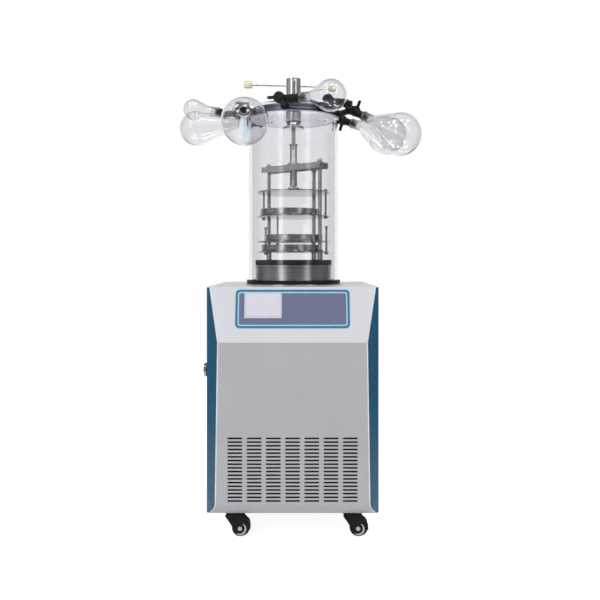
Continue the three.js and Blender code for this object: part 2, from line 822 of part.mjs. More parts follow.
// Rods held by a plate at shelfZ, each with a nut below it and a head whose top is at topZ.
function hangers(angles, shelfZ, topZ) {
  return join(...angles.map((angle) => {
    const { x, y } = polar(angle, rodCircle);
    return join(
      upright(rodRadius, x, y, shelfZ - rodHeadHeight, topZ, 8),
      upright(rodHead, x, y, shelfZ - rodHeadHeight, shelfZ + 0.5, 6),
      upright(rodHead, x, y, topZ - rodHeadHeight, topZ, 6),
    );
  }));
}

// Top of a hanger whose head rests on a plate with this underside and thickness.
const headTop = (plateZ, thickness) => plateZ + thickness + gap + rodHeadHeight;

function makeRackBase() {
  const webBottom = yokeTop - yokePlate - gap;
  const shelf = upright(shelfRadius, 0, 0, shelf3Z, shelf3Z + shelfThickness, bigRound);
  const columns = posts.map(({ x, y }) => join(
    upright(legRadius, x, y, deckTop + gap, shelf3Z + 1),
    upright(postRadius, x, y, shelf3Z, webBottom),
    upright(studRadius, x, y, webBottom - 1, yokeTop + 8, 8),
  ));
  return join(shelf, ...columns, hangers(stopRodAngles, shelf3Z, stopRodTop));
}

// The yoke: a channel with its flanges down, an arm to the rear post, the screw's nut and cap nuts.
function makeYoke() {
  const z0 = yokeTop - yokePlate;
  const half = yokeWidth / 2;
  const channel = join(
    block(-yokeHalf, yokeHalf, -half, half, z0, yokeTop),
    block(-yokeHalf, yokeHalf, -half, -half + yokePlate, yokeTop - yokeFlange, yokeTop),
    block(-yokeHalf, yokeHalf, half - yokePlate, half, yokeTop - yokeFlange, yokeTop),
  ).rotate([0, 0, yokeAngle]);
  const arm = block(0, rearPostCircle + 12, -yokeArmWidth / 2, yokeArmWidth / 2, z0, yokeTop)
    .rotate([0, 0, rearPostAngle]);
  const nut = upright(nutRadius, 0, 0, z0, yokeTop + nutHeight, 16);
  const caps = posts.map(({ x, y }) => acornNut().translate([x, y, yokeTop - 0.5]));
  const screwHole = drillDown(screwRadius + gap, 0, 0, z0 - 1, yokeTop + nutHeight + 1, 20);
  const bores = posts.map(({ x, y }) => drillDown(studRadius + gap, x, y, z0 - 1, yokeTop + 9, 8));
  return cut(join(channel, arm, nut, ...caps), screwHole, ...bores);
}

function acornNut() {
  const hex = upright(acornRadius, 0, 0, 0, acornHeight / 2, 6);
  const dome = turned([
    [0, 0], [acornRadius * 0.8, 0], [acornRadius * 0.8, acornHeight * 0.6],
    [acornRadius * 0.5, acornHeight * 0.9], [0, acornHeight],
  ], 8);
  return join(hex, dome);
}

function makePressPlate() {
  const top = pressZ + pressThickness;
  const plate = slidingPlate(pressZ, pressThickness, pressHangerAngles);
  const boss = join(
    upright(bossRadius + 8, 0, 0, top - 1, top + 4, 16),
    upright(bossRadius, 0, 0, top - 1, top + bossHeight, 16),
  );
  const seat = drillDown(screwTip + gap, 0, 0, top, top + bossHeight + 1, 16);
  return cut(join(plate, boss), seat);
}

function makeTray(shelfZ, shift) {
  const z0 = shelfZ + shelfThickness + gap;
  const inner = trayRadius - trayWall;
  const tray = turned([
    [0, z0], [trayRadius - 2, z0], [trayRadius, z0 + 2], [trayRadius, z0 + trayHeight],
    [inner, z0 + trayHeight], [inner, z0 + trayWall], [0, z0 + trayWall],
  ], bigRound);
  const { x, y } = polar(openSide, shift);
  return tray.translate([x, y, 0]);
}

function makeRack() {
  const shelf1 = slidingPlate(shelf1Z, shelfThickness, shelfHangerAngles);
  const shelf2 = slidingPlate(shelf2Z, shelfThickness, stopRodAngles);
  const pressHangers = hangers(pressHangerAngles, shelf1Z, headTop(pressZ, pressThickness));
  const shelfHangers = hangers(shelfHangerAngles, shelf2Z, headTop(shelf1Z, shelfThickness));
  piece('rack_base', makeRackBase(), stainless);
  piece('yoke', makeYoke(), stainless);
  piece('press_screw', makeScrew(), stainless);
  piece('press_plate', makePressPlate(), stainless);
  piece('shelf_1', join(shelf1, pressHangers), stainless);
  piece('shelf_2', join(shelf2, shelfHangers), stainless);
  [shelf1Z, shelf2Z, shelf3Z].forEach((z, i) => {
    piece(`tray_${i + 1}`, makeTray(z, trayShift[i]), stainless);
  });
}

// ---------------------------------------------------------------- valves and flasks

// A valve's frame: at the valve's centre, z towards the knob's face, x along the lever.
function valveGroup({ port, outlet, rise, knob, lever }) {
  const face = heading(knob, 0);
  const flow = heading(outlet, rise);
  const up = face.clone().cross(flow).normalize();
  if (up.z < 0) up.negate();
  const arm = { back: flow.clone().negate(), up, down: up.clone().negate() }[lever];
  const group = new THREE.Group();
  group.matrix.makeBasis(arm, face.clone().cross(arm), face);
  group.matrix.setPosition(valveCentre(port));
  group.matrix.decompose(group.position, group.quaternion, group.scale);
  return group;
}

// A direction of the whole object in a group's own frame.
const within = (group, direction) => direction.clone().applyQuaternion(group.quaternion.clone().invert());

// Moulded rubber body: plug and stem to the ring, barrel for the knob's pin, outlet with its nozzle.
function makeValveBody(group, { port, outlet, rise }) {
  const flow = within(group, heading(outlet, rise));
  const inward = within(group, stemStart(port).sub(valveCentre(port)));
  const start = vector(0, 0, 0);
  const outletEnd = flow.clone().multiplyScalar(outletLength - gap);
  const nozzleEnd = flow.clone().multiplyScalar(outletLength + nozzleLength);
  const ringZone = upright(ringRadius + gap, 0, 0, ringBottom - 20, ringTop + 30, bigRound)
    .transform(new THREE.Matrix4().compose(group.position, group.quaternion, group.scale).invert().toArray());
  const depth = (valveCircle - ringBore + 2) / (valveCircle - (ringRadius + ringBore) / 2);
  const stem = cut(rod(valveStem, start, inward), ringZone);
  const body = join(
    rod(barrelRadius, vector(0, 0, -barrelHalf), vector(0, 0, barrelHalf), 12),
    stem,
    rod(stemPlug, start, inward.clone().multiplyScalar(depth), 8),
    rod(outletRadius, start, outletEnd),
    rod(nozzleRadius, start, nozzleEnd),
  );
  const boreEnd = barrelHalf - valvePinLength - gap;
  const pinBore = drill(valvePin + gap, vector(0, 0, boreEnd), vector(0, 0, barrelHalf + 1), 8);
  return cut(body, pinBore);
}

function makeValveKnob() {
  const z0 = barrelHalf + gap;
  const z1 = z0 + valveKnobDepth;
  return join(
    rod(valveKnobRadius, vector(0, 0, z0), vector(0, 0, z1), 14),
    rod(valvePin, vector(0, 0, barrelHalf - valvePinLength), vector(0, 0, z0 + 1), 8),
    block(0, leverReach, -leverWidth / 2, leverWidth / 2, z0 + 2, z1 - 2),
  );
}

// A pear-shaped flask from its mouth, at z = 0, to its bulb: neck, straight shoulder, round bulb.
function makeFlask({ bulb, reach }) {
  const side = (shrink, neck, start) => {
    const radius = bulb - shrink;
    const base = Math.atan2(neck, neckLength - reach);
    const shoulder = base - Math.acos(radius / Math.hypot(neck, neckLength - reach));
    const outline = [[neck, start], [neck, neckLength]];
    const steps = 4;
    for (let i = 0; i <= steps; i++) {
      const angle = shoulder * (1 - i / steps);
      outline.push([i === steps ? 0 : radius * Math.sin(angle), reach + radius * Math.cos(angle)]);
    }
    return outline;
  };
  const seat = nozzleRadius + gap;
  const inside = side(glass, neckRadius - glass, nozzleLength + 6);
  return turned([...side(0, neckRadius, 0), ...inside.reverse(), [seat, nozzleLength + 3], [seat, 0]], 18);
}

function makeManifold() {
  for (const valve of valves) {
    const group = valveGroup(valve);
    object.add(group);
    piece(`valve_body_${valve.name}`, makeValveBody(group, valve), blackRubber, group);
    piece(`valve_knob_${valve.name}`, makeValveKnob(), darkPlastic, group);
    if (valve.bulb) {
      const flow = heading(valve.outlet, valve.rise);
      const holder = new THREE.Group();
      holder.quaternion.setFromUnitVectors(vector(0, 0, 1), flow);
      holder.position.copy(valveCentre(valve.port)).addScaledVector(flow, outletLength);
      object.add(holder);
      piece(`flask_${valve.name}`, makeFlask(valve), clearGlass, holder);
    }
  }
}

makeCabinet();
makeControls();
makeCastors();
makeInside();
makeChamber();
makeHandle();
makeRack();
makeManifold();

// The origin goes below the middle of the whole object's box.
const box = new THREE.Box3().setFromObject(object, true);
object.position.set(-(box.min.x + box.max.x) / 2, -(box.min.y + box.max.y) / 2, 0);

export default object;
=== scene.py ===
# %% [markdown]
# # A freeze dryer, dressed piece by piece
# A freeze dryer takes the water out of frozen samples under vacuum. This one is a cabinet on
# castors with a cold trap in its top, a clear chamber over the trap, a rack of trays inside it
# that a hand screw presses together, and glass flasks on rubber valves around the rim.
#
# The measured model is already there, with every size and every joint. What it lacks is what
# makes a thing look made: rounded edges, threads, brushed and polished metal, clear plastic and
# glass. Each step below takes one piece of the machine and gives it those. The sizes stay as they
# are.

# %% Load the measured model
import json
import math

import bmesh
import bpy
from mathutils import Matrix, Vector
from mathutils.geometry import tessellate_polygon


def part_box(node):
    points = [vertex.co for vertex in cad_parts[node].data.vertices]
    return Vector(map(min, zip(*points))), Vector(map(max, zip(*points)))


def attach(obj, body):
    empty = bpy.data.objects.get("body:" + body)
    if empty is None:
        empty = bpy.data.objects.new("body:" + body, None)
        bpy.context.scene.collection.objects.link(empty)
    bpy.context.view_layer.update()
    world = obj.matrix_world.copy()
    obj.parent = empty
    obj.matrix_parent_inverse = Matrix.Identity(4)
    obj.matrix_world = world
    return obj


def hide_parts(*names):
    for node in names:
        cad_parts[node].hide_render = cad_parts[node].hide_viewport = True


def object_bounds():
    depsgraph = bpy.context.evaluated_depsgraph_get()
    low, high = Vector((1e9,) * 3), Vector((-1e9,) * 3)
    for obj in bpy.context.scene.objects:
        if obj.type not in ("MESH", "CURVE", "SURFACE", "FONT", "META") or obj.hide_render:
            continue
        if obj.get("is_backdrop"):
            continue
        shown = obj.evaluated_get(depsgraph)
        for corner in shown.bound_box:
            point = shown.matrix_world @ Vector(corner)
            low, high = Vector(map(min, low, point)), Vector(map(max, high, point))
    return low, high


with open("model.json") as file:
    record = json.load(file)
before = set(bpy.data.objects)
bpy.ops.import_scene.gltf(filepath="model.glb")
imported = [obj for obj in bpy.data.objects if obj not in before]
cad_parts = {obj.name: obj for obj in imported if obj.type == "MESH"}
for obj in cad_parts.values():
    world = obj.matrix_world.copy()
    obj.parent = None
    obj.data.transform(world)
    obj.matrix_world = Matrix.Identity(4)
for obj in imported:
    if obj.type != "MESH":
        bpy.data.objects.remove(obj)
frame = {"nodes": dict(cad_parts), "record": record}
cad_box = [list(corner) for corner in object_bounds()]
print("pieces loaded:", len(frame["nodes"]))
print("size in metres:", [round(high - low, 3) for low, high in zip(*cad_box)])

# %% [markdown]
# ## Where things are
# Nearly everything round on this machine sits on one upright axis, that of the chamber. A point
# is easiest to write as millimetres from that axis and millimetres above the floor, as on a
# workshop drawing, so one small function turns such a point into the metres of the scene.

# %% The chamber's axis, and points measured from it
MM = 0.001
tube_low, tube_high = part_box("chamber_tube")
axis_x, axis_y = (tube_low.x + tube_high.x) / 2, (tube_low.y + tube_high.y) / 2


def at(x, y, z):
    """A point in millimetres from the chamber's axis and the floor."""
    return Vector((axis_x + x * MM, axis_y + y * MM, z * MM))


def direction(angle, rise=0.0):
    """A unit direction from its compass angle and its rise, in degrees."""
    turn, lift = math.radians(angle), math.radians(rise)
    level = math.cos(lift)
    return Vector((level * math.cos(turn), level * math.sin(turn), math.sin(lift)))


print("chamber axis at", round(axis_x, 4), round(axis_y, 4))

# %% [markdown]
# ## Camera, floor and light
# The camera comes first, because it decides what is worth making. It stands a little over two
# metres in front, level with the cabinet's top, and looks straight ahead. A shift of the lens, as
# an architect's camera has, lowers the picture without tilting the upright lines.

# %% The camera
camera_data = bpy.data.cameras.new("camera")
camera = bpy.data.objects.new("camera", camera_data)
bpy.context.scene.collection.objects.link(camera)
camera_distance, camera_height, camera_aside = 2300, 828, 22
camera_data.sensor_width = 36
camera_data.lens = 40.8
camera_data.shift_y = -0.0633
camera.location = at(camera_aside, -camera_distance, camera_height)
camera.rotation_euler = (math.radians(90), 0, 0)
bpy.context.scene.camera = camera
print("camera at", [round(value, 3) for value in camera.location])

# %% [markdown]
# The light is that of a studio. A white backdrop stands behind the machine, and the room on the
# camera's side is dim, with two tall strip lights in it. Steel shows that room: it is grey with
# bright upright streaks. Clear things show the backdrop through them, and at their edges the dark
# cards that stand on both sides and the dim ceiling. A few small lamps hang from that ceiling and
# sparkle in the glass. Only mirrored and bent rays see all this; a second, even colour lights the
# dull surfaces. A ray that was bent but never mirrored finds white on the camera's side too, so
# that glass stays clear when it is seen from behind.

# %% The studio, as a mirror sees it
scene = bpy.context.scene
scene.view_settings.view_transform = "Standard"
world = bpy.data.worlds.new("studio")
scene.world = world
world.use_nodes = True
world.cycles.sampling_method = "NONE"
sky = world.node_tree
sky.nodes.clear()


def new_node(tree, kind, *sources, **settings):
    """A node with its first inputs wired to outputs or set to values."""
    node = tree.nodes.new(kind)
    for key, value in settings.items():
        setattr(node, key, value)
    for socket, source in zip(node.inputs, sources):
        if isinstance(source, bpy.types.NodeSocket):
            tree.links.new(source, socket)
        else:
            socket.default_value = source
    return node


def sky_math(operation, first, second):
    return new_node(sky, "ShaderNodeMath", first, second, operation=operation).outputs[0]


def ramp(value, start, end, low, high):
    """Runs from low to high as the value goes from start to end."""
    return new_node(sky, "ShaderNodeMapRange", value, start, end, low, high).outputs[0]


# Degrees round the machine, where 0 is the camera's side and 180 the backdrop, and the light
# that comes from there.
strip_light = 2.4
studio = [
    (-180, 1.0), (-139, 1.0), (-130, 0.2), (-108, 0.1), (-92, 0.32), (-70, 0.42), (-52, 0.2),
    (-40, 0.7), (-35, strip_light), (-28, strip_light), (-24, 0.3), (-10, 0.2), (12, 0.17),
    (30, 0.2), (37, 1.6), (42, 1.6), (46, 0.24), (62, 0.14), (84, 0.3), (108, 0.1), (130, 0.2),
    (139, 1.0), (180, 1.0),
]
path = new_node(sky, "ShaderNodeLightPath").outputs
generated = new_node(sky, "ShaderNodeTexCoord").outputs["Generated"]
ray = new_node(sky, "ShaderNodeSeparateXYZ", generated).outputs
towards_camera = sky_math("MULTIPLY", ray["Y"], -1.0)
turn = sky_math("DIVIDE", sky_math("ARCTAN2", ray["X"], towards_camera), math.tau)
cards = new_node(sky, "ShaderNodeValToRGB", sky_math("ADD", turn, 0.5))
while len(cards.color_ramp.elements) < len(studio):
    cards.color_ramp.elements.new(0.5)
for element, (angle, light) in zip(cards.color_ramp.elements, studio):
    element.position = angle / 360 + 0.5
    shade = light / strip_light
    element.color = (shade, shade, shade, 1)
print("cards round the room:", len(studio))

# %% Clear views, the ceiling and its sparkling lamps
# Clear things show a little less light in front of the machine than behind it.
front_white, back_white = 0.8 / strip_light, 1 / strip_light
turns_at, turned_at = -0.3, -0.12
unmirrored = sky_math("LESS_THAN", path["Glossy Depth"], 0.5)
unmirrored_bent = sky_math("MULTIPLY", unmirrored, path["Is Transmission Ray"])
backdrop_white = ramp(towards_camera, turns_at, turned_at, front_white, back_white)
through_glass = sky_math("MULTIPLY", backdrop_white, unmirrored_bent)
ceiling_edge, ceiling_top, ceiling_light = 0.42, 0.72, 0.3
ceiling = ramp(ray["Z"], ceiling_edge, ceiling_top, 1.0, ceiling_light)
room = sky_math("MULTIPLY", sky_math("MAXIMUM", cards.outputs["Color"], through_glass), ceiling)
lamp_half, lamp_edge, lamp_light = math.radians(6), 1.3, 9.0
# Each lamp's degrees round the machine and its rise above the horizon.
for angle, rise in [(-34, 36), (22, 41), (-62, 60), (8, 66), (58, 57)]:
    aim = new_node(sky, "ShaderNodeVectorMath", generated, direction(angle - 90, rise),
                   operation="DOT_PRODUCT").outputs["Value"]
    spot = ramp(aim, math.cos(lamp_edge * lamp_half), math.cos(lamp_half),
                0.0, lamp_light / strip_light)
    room = sky_math("MAXIMUM", room, spot)

# %% What each kind of ray finds
dull_light, backdrop = 0.44, 1.0
white = (1, 1, 1, 1)


def glow_of(strength, colour=white):
    return new_node(sky, "ShaderNodeBackground", colour, strength).outputs[0]


def choose(factor, first, second):
    return new_node(sky, "ShaderNodeMixShader", factor, first, second).outputs[0]


bent = sky_math("MAXIMUM", path["Is Glossy Ray"], path["Is Transmission Ray"])
on_objects = choose(bent, glow_of(dull_light), glow_of(strip_light, room))
everything = choose(path["Is Camera Ray"], on_objects, glow_of(backdrop))
new_node(sky, "ShaderNodeOutputWorld", everything)
print("world nodes:", len(sky.nodes))


# %% Three soft lamps
def lamp(name, place, target, size, watts):
    data = bpy.data.lights.new(name, "AREA")
    data.shape = "SQUARE"
    data.size = size
    data.energy = watts
    made = bpy.data.objects.new(name, data)
    scene.collection.objects.link(made)
    made.location = place
    made.rotation_euler = (target - place).to_track_quat("-Z", "Y").to_euler()
    made.visible_camera = made.visible_glossy = made.visible_transmission = False
    print(name, "at", [round(value, 2) for value in place])


middle = at(0, 0, 800)
lamp("key lamp", at(-1900, -2300, 2300), middle, 1.8, 46)
lamp("fill lamp", at(2300, -1700, 1500), middle, 1.6, 22)
lamp("back lamp", at(500, 2500, 2400), middle, 1.8, 26)

# %% [markdown]
# The floor is a plain pale sheet with a light of its own. That light fills the undersides, as a
# white floor does, and lifts the floor to the white of the backdrop, so that the two meet without
# an edge. Only the soft shadow under the machine is left of it. The sheet ends in front and at
# the sides, where a polished surface mirrors the dim floor of the room.

# %% The floor
floor_half, just_below = 9.0, -0.0005
floor_mesh = bpy.data.meshes.new("floor")
corners = [(-floor_half, -floor_half, 0), (floor_half, -floor_half, 0), (floor_half, floor_half, 0),
           (-floor_half, floor_half, 0)]
floor_mesh.from_pydata(corners, [], [(0, 1, 2, 3)])
floor = bpy.data.objects.new("floor", floor_mesh)
scene.collection.objects.link(floor)
floor.location.z = just_below
floor_finish = bpy.data.materials.new("pale floor")
floor_finish.use_nodes = True
floor_tree = floor_finish.node_tree
floor_tree.nodes.clear()


def floor_node(kind, *sources, output=0, **settings):
    return new_node(floor_tree, kind, *sources, **settings).outputs[output]


def floor_math(operation, *sources):
    return floor_node("ShaderNodeMath", *sources, operation=operation)


sheet_edge, sheet_end, room_floor = 0.55, 1.9, 0.1
paper_grey, paper_glow, extra_when_seen = 0.62, 0.42, 0.34
floor_path = new_node(floor_tree, "ShaderNodeLightPath").outputs
seen = floor_math("MAXIMUM", floor_path["Is Camera Ray"], floor_path["Is Transmission Ray"])
glow_strength = floor_math("MULTIPLY_ADD", seen, extra_when_seen, paper_glow)
glow = floor_node("ShaderNodeEmission", white, glow_strength)
paper = floor_node("ShaderNodeBsdfDiffuse", (paper_grey, paper_grey, paper_grey, 1))
sheet = floor_node("ShaderNodeAddShader", paper, glow)
on_floor = new_node(floor_tree, "ShaderNodeSeparateXYZ",
                    floor_node("ShaderNodeTexCoord", output="Object")).outputs
sideways = floor_math("ABSOLUTE", on_floor["X"])
beside = floor_node("ShaderNodeMapRange", sideways, sheet_edge, sheet_end)
before = floor_node("ShaderNodeMapRange", on_floor["Y"], -sheet_edge, -sheet_end)
reflected = floor_math("GREATER_THAN", floor_path["Glossy Depth"], 0.5)
mirrored = floor_math("MULTIPLY", floor_math("MAXIMUM", beside, before), reflected)
dim = floor_node("ShaderNodeEmission", white, room_floor)
whole = floor_node("ShaderNodeMixShader", mirrored, sheet, dim)
new_node(floor_tree, "ShaderNodeOutputMaterial", whole)
floor_mesh.materials.append(floor_finish)
floor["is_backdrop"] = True
print("floor of", 2 * floor_half, "metres laid")

# %% [markdown]
# ## Finishes
# A finish is more than a colour. Powder coat has a faint orange peel, brushed steel has fine
# streaks along the way it was brushed, and moulded plastic is a little mottled. Each is made with
# noise that is worked out from the piece's own coordinates, so the pattern stays on the piece
# when the piece moves.


# %% The tools for making a finish
def shader_of(made):
    return made.node_tree.nodes["Principled BSDF"]


finish_names = []


def new_finish(name, levels):
    """A finish whose shader has these levels, the same all over."""
    made = bpy.data.materials.new(name)
    made.use_nodes = True
    finish_names.append(name)
    for socket, level in levels.items():
        shader_of(made).inputs[socket].default_value = level
    return made


def finish_node(made, kind, *sources, output=0, **settings):
    return new_node(made.node_tree, kind, *sources, **settings).outputs[output]


def drive(made, socket, pattern):
    """Lets a pattern set one of the shader's levels."""
    made.node_tree.links.new(pattern, shader_of(made).inputs[socket])


def own_coordinates(made, stretch=(1, 1, 1)):
    """The piece's own coordinates, stretched along each axis."""
    own = finish_node(made, "ShaderNodeTexCoord", output="Object")
    return finish_node(made, "ShaderNodeMapping", own, (0, 0, 0), (0, 0, 0), stretch)


def noise(made, coordinates, scale, detail=3.0):
    return finish_node(made, "ShaderNodeTexNoise", coordinates, 0, scale, detail)


# Noise seldom leaves this range.
noise_low, noise_high = 0.3, 0.7


def between(made, pattern, low, high):
    """A number that runs from low to high as the noise does."""
    return finish_node(made, "ShaderNodeMapRange", pattern, noise_low, noise_high, low, high)


def shaded(colour, amount):
    return tuple(min(1.0, channel * amount) for channel in colour) + (1,)


# Where a mixing node has its two colours and its result.
first_colour, second_colour, mixed_colour = 6, 7, 2


def mottle(made, pattern, colour, spread):
    """The base colour, a little darker and lighter as the noise does."""
    mix = new_node(made.node_tree, "ShaderNodeMix", between(made, pattern, 0, 1), data_type="RGBA")
    mix.inputs[first_colour].default_value = shaded(colour, 1 - spread)
    mix.inputs[second_colour].default_value = shaded(colour, 1 + spread)
    drive(made, "Base Color", mix.outputs[mixed_colour])


def relief(made, height, strength, distance):
    bump = new_node(made.node_tree, "ShaderNodeBump", strength, distance)
    made.node_tree.links.new(height, bump.inputs["Height"])
    drive(made, "Normal", bump.outputs[0])


print("finish tools ready")


# %% How paint and plastic are made up
def grained(name, levels, colour, spread, roughness, scales, detail, depth):
    """A finish with a mottled colour, an uneven shine and a fine grain, each with its scale."""
    made = new_finish(name, levels)
    grain = own_coordinates(made)
    colour_scale, shine_scale, grain_scale = scales
    mottle(made, noise(made, grain, colour_scale), colour, spread)
    drive(made, "Roughness", between(made, noise(made, grain, shine_scale), *roughness))
    relief(made, noise(made, grain, grain_scale, detail), depth, 0.0003)
    return made


def powder_coat(name, colour, roughness, gloss=0.0, shine=0.5):
    """Sprayed and baked paint, with its orange peel."""
    levels = {"Specular IOR Level": shine, "Coat Weight": gloss, "Coat Roughness": 0.08}
    return grained(name, levels, colour, 0.025, (roughness - 0.04, roughness + 0.05),
                   (6, 40, 700), 2, 0.12)


def moulded(name, colour, roughness, scale=900, spread=0.12, shine=0.5):
    """Moulded plastic or rubber with a fine eroded grain."""
    return grained(name, {"Specular IOR Level": shine}, colour, spread,
                   (roughness - 0.07, roughness + 0.08), (30, 90, scale), 4, 0.2)


def lit(made, colour, strength):
    """Gives a finish a faint light of its own: real on the lit screen, painted glow elsewhere."""
    shader_of(made).inputs["Emission Color"].default_value = colour + (1,)
    shader_of(made).inputs["Emission Strength"].default_value = strength
    return made


print("ways to coat and mould ready")

# %% The paints, plastics and rubbers
grey_paint = powder_coat("grey powder coat", (0.435, 0.44, 0.46), 0.42)
white_paint = powder_coat("pale powder coat", (0.68, 0.685, 0.73), 0.38)
blue_paint = powder_coat("teal blue paint", (0.014, 0.088, 0.168), 0.26, shine=0.25)
# The white of the strips along the front's edges: a painted highlight on the sheet edges.
edge_highlight_white = moulded("white strip as painted edge highlight", (0.82, 0.83, 0.86), 0.35)
black_enamel = powder_coat("black enamel", (0.012, 0.012, 0.014), 0.22, 0.5)
castor_plastic = moulded("castor plastic", (0.009, 0.0095, 0.011), 0.42, shine=0.12)
castor_cap = moulded("castor cap plastic", (0.42, 0.43, 0.44), 0.45)
tread_rubber = moulded("tread rubber", (0.012, 0.012, 0.013), 0.62, shine=0.2)
seal_rubber = moulded("seal rubber", (0.010, 0.010, 0.012), 0.5, shine=0.2)
valve_rubber = moulded("valve rubber", (0.009, 0.0095, 0.011), 0.48, shine=0.2)
valve_plastic = moulded("valve plastic", (0.012, 0.013, 0.016), 0.36, shine=0.25)
fan_plastic = moulded("fan plastic", (0.02, 0.02, 0.022), 0.45)
# The bore's liner is pale and glows as well: painted light, so that the bore reads bright.
liner_white = (0.84, 0.84, 0.87)
liner_with_painted_glow = lit(moulded("pale liner with painted glow", liner_white, 0.35, 500, 0.02), liner_white, 0.2)
cream_plastic = moulded("cream plastic", (0.80, 0.75, 0.53), 0.28)
print("paints, plastics and rubbers:", len(finish_names))


# %% How metal is made up
def brushed(name, colour, roughness, depth, pattern_of):
    """Bare metal whose shine and fine relief follow one pattern."""
    made = new_finish(name, {"Metallic": 1.0})
    mottle(made, noise(made, own_coordinates(made), 9), colour, 0.05)
    fine = pattern_of(made)
    drive(made, "Roughness", between(made, fine, roughness * 0.7, roughness * 1.4))
    relief(made, fine, depth, 0.0002)
    return made


def metal(name, colour, roughness, streaks=None, depth_of_streaks=0.15):
    """Bare metal. The streaks are the stretch of its brushing along x, y and z."""
    def streaked(made):
        if streaks is None:
            return noise(made, own_coordinates(made), 260, 4)
        return noise(made, own_coordinates(made, streaks), 1, 4)

    return brushed(name, colour, roughness, depth_of_streaks, streaked)


def turned_metal(name, colour, roughness, centre, pitch=900):
    """Metal faced on a lathe or brushed in circles round a centre."""
    def ringed(made):
        def vector_math(operation, *sources, output=0):
            return finish_node(made, "ShaderNodeVectorMath", *sources, output=output,
                               operation=operation)

        own = finish_node(made, "ShaderNodeTexCoord", output="Object")
        offset = vector_math("SUBTRACT", own, (centre.x, centre.y, 0))
        distance = vector_math("LENGTH", vector_math("MULTIPLY", offset, (1, 1, 0)), output="Value")
        waver = noise(made, own_coordinates(made), 3)
        return noise(made, finish_node(made, "ShaderNodeCombineXYZ", distance, waver), pitch, 4)

    return brushed(name, colour, roughness, 0.12, ringed)


print("ways to brush and turn ready")

# %% The metals
steel_grey, dark_steel_grey = (0.56, 0.565, 0.58), (0.54, 0.545, 0.56)
polished_steel = metal("polished steel", (0.74, 0.745, 0.76), 0.09, None, 0.02)
bright_steel = metal("drawn bright steel", (0.82, 0.825, 0.84), 0.2, None, 0.02)
satin_steel = metal("satin steel", steel_grey, 0.24, None, 0.05)
folded_steel = metal("pale folded steel", (0.92, 0.925, 0.94), 0.4, None, 0.05)
# Nuts and boss are rough, to catch broad light, and paler than steel is: a painted highlight.
nut_steel_paled_as_highlight = metal("nut steel paled as painted highlight", (0.97, 0.97, 0.98), 0.34, None, 0.02)
drum_steel = metal("steel brushed round", steel_grey, 0.28, (3, 3, 1500))
plate_steel = turned_metal("steel brushed in circles", dark_steel_grey, 0.25, at(0, 0, 0))
rod_steel = metal("ground rod steel", dark_steel_grey, 0.2, (40, 40, 1500), 0.08)
port_steel = metal("turned port steel", (0.60, 0.61, 0.63), 0.22, (1500, 8, 8))
ring_metal = metal("dark anodised ring", (0.17, 0.19, 0.24), 0.34, (3, 3, 1200))
# Near black, darker than bare fins: painted shade for what is seen through the front slots.
core_metal_darkened_as_shade = metal("finned core darkened as painted shade", (0.06, 0.06, 0.065), 0.5, (900, 20, 5))
print("finishes with the metals:", len(finish_names))


# %% [markdown]
# Clear plastic and glass bend light, and a lamp's light can't find its way through them by
# chance. So for shadow rays they are simply open, and the trays inside stay lit as they are in a
# bright room. Acrylic has a trace of blue grey in its cut edges, and the flasks' necks are ground
# to a frost where they grip the valve.


# %% Clear finishes
def clear(name, colour, roughness, bend):
    made = new_finish(name, {"Base Color": colour + (1,), "IOR": bend, "Transmission Weight": 1.0})
    haze = noise(made, own_coordinates(made), 14)
    drive(made, "Roughness", between(made, haze, roughness, roughness + 0.02))
    shadow_ray = finish_node(made, "ShaderNodeLightPath", output="Is Shadow Ray")
    open_way = finish_node(made, "ShaderNodeBsdfTransparent", shaded(colour, 0.97))
    closed_way = shader_of(made).outputs[0]
    choice = finish_node(made, "ShaderNodeMixShader", shadow_ray, closed_way, open_way)
    made.node_tree.links.new(choice, made.node_tree.nodes["Material Output"].inputs[0])
    return made


acrylic = clear("clear acrylic", (0.895, 0.89, 0.915), 0.0, 1.49)
lid_acrylic = clear("lid acrylic", (0.87, 0.88, 0.91), 0.0, 1.49)
flask_glass = clear("flask glass", (0.915, 0.912, 0.93), 0.0, 1.47)
frosted_glass = clear("ground glass", (0.86, 0.87, 0.88), 0.42, 1.47)
print("finishes with the clear ones:", len(finish_names))

# %% [markdown]
# ## Ways of making a shape
# A workshop has few ways of making things, and so has this notebook: a sharp outline gets its
# corners rounded, and is then turned on a lathe, cut out as a plate, or pushed along a path. Each
# way gives a list of points and a list of faces, still in millimetres. A real edge is never
# perfectly sharp, and the thin line of light along it is much of what makes a render look real,
# so every outline goes through the rounding.


# %% Rounding an outline
# A curve takes up at most this share of each side it joins.
most_of_a_side = 0.48


def rounded(outline, steps=4):
    """A closed outline; a corner given as (x, y, radius) becomes a curve."""
    curve = []
    for place, corner in enumerate(outline):
        here = Vector(corner[:2])
        reach = corner[2] if len(corner) > 2 else 0
        if reach <= 0:
            curve.append(tuple(here))
            continue
        back = Vector(outline[place - 1][:2]) - here
        ahead = Vector(outline[(place + 1) % len(outline)][:2]) - here
        reach = min(reach, most_of_a_side * back.length, most_of_a_side * ahead.length)
        start, end = here + back.normalized() * reach, here + ahead.normalized() * reach
        for step in range(steps + 1):
            t = step / steps
            curve.append(tuple(start * (1 - t) ** 2 + here * 2 * t * (1 - t) + end * t**2))
    return curve


def soft(corners, radius):
    """The same radius on every corner."""
    return rounded([(x, y, radius) for x, y in corners])


print("a rounded square has", len(soft([(0, 0), (10, 0), (10, 10), (0, 10)], 2)), "points")


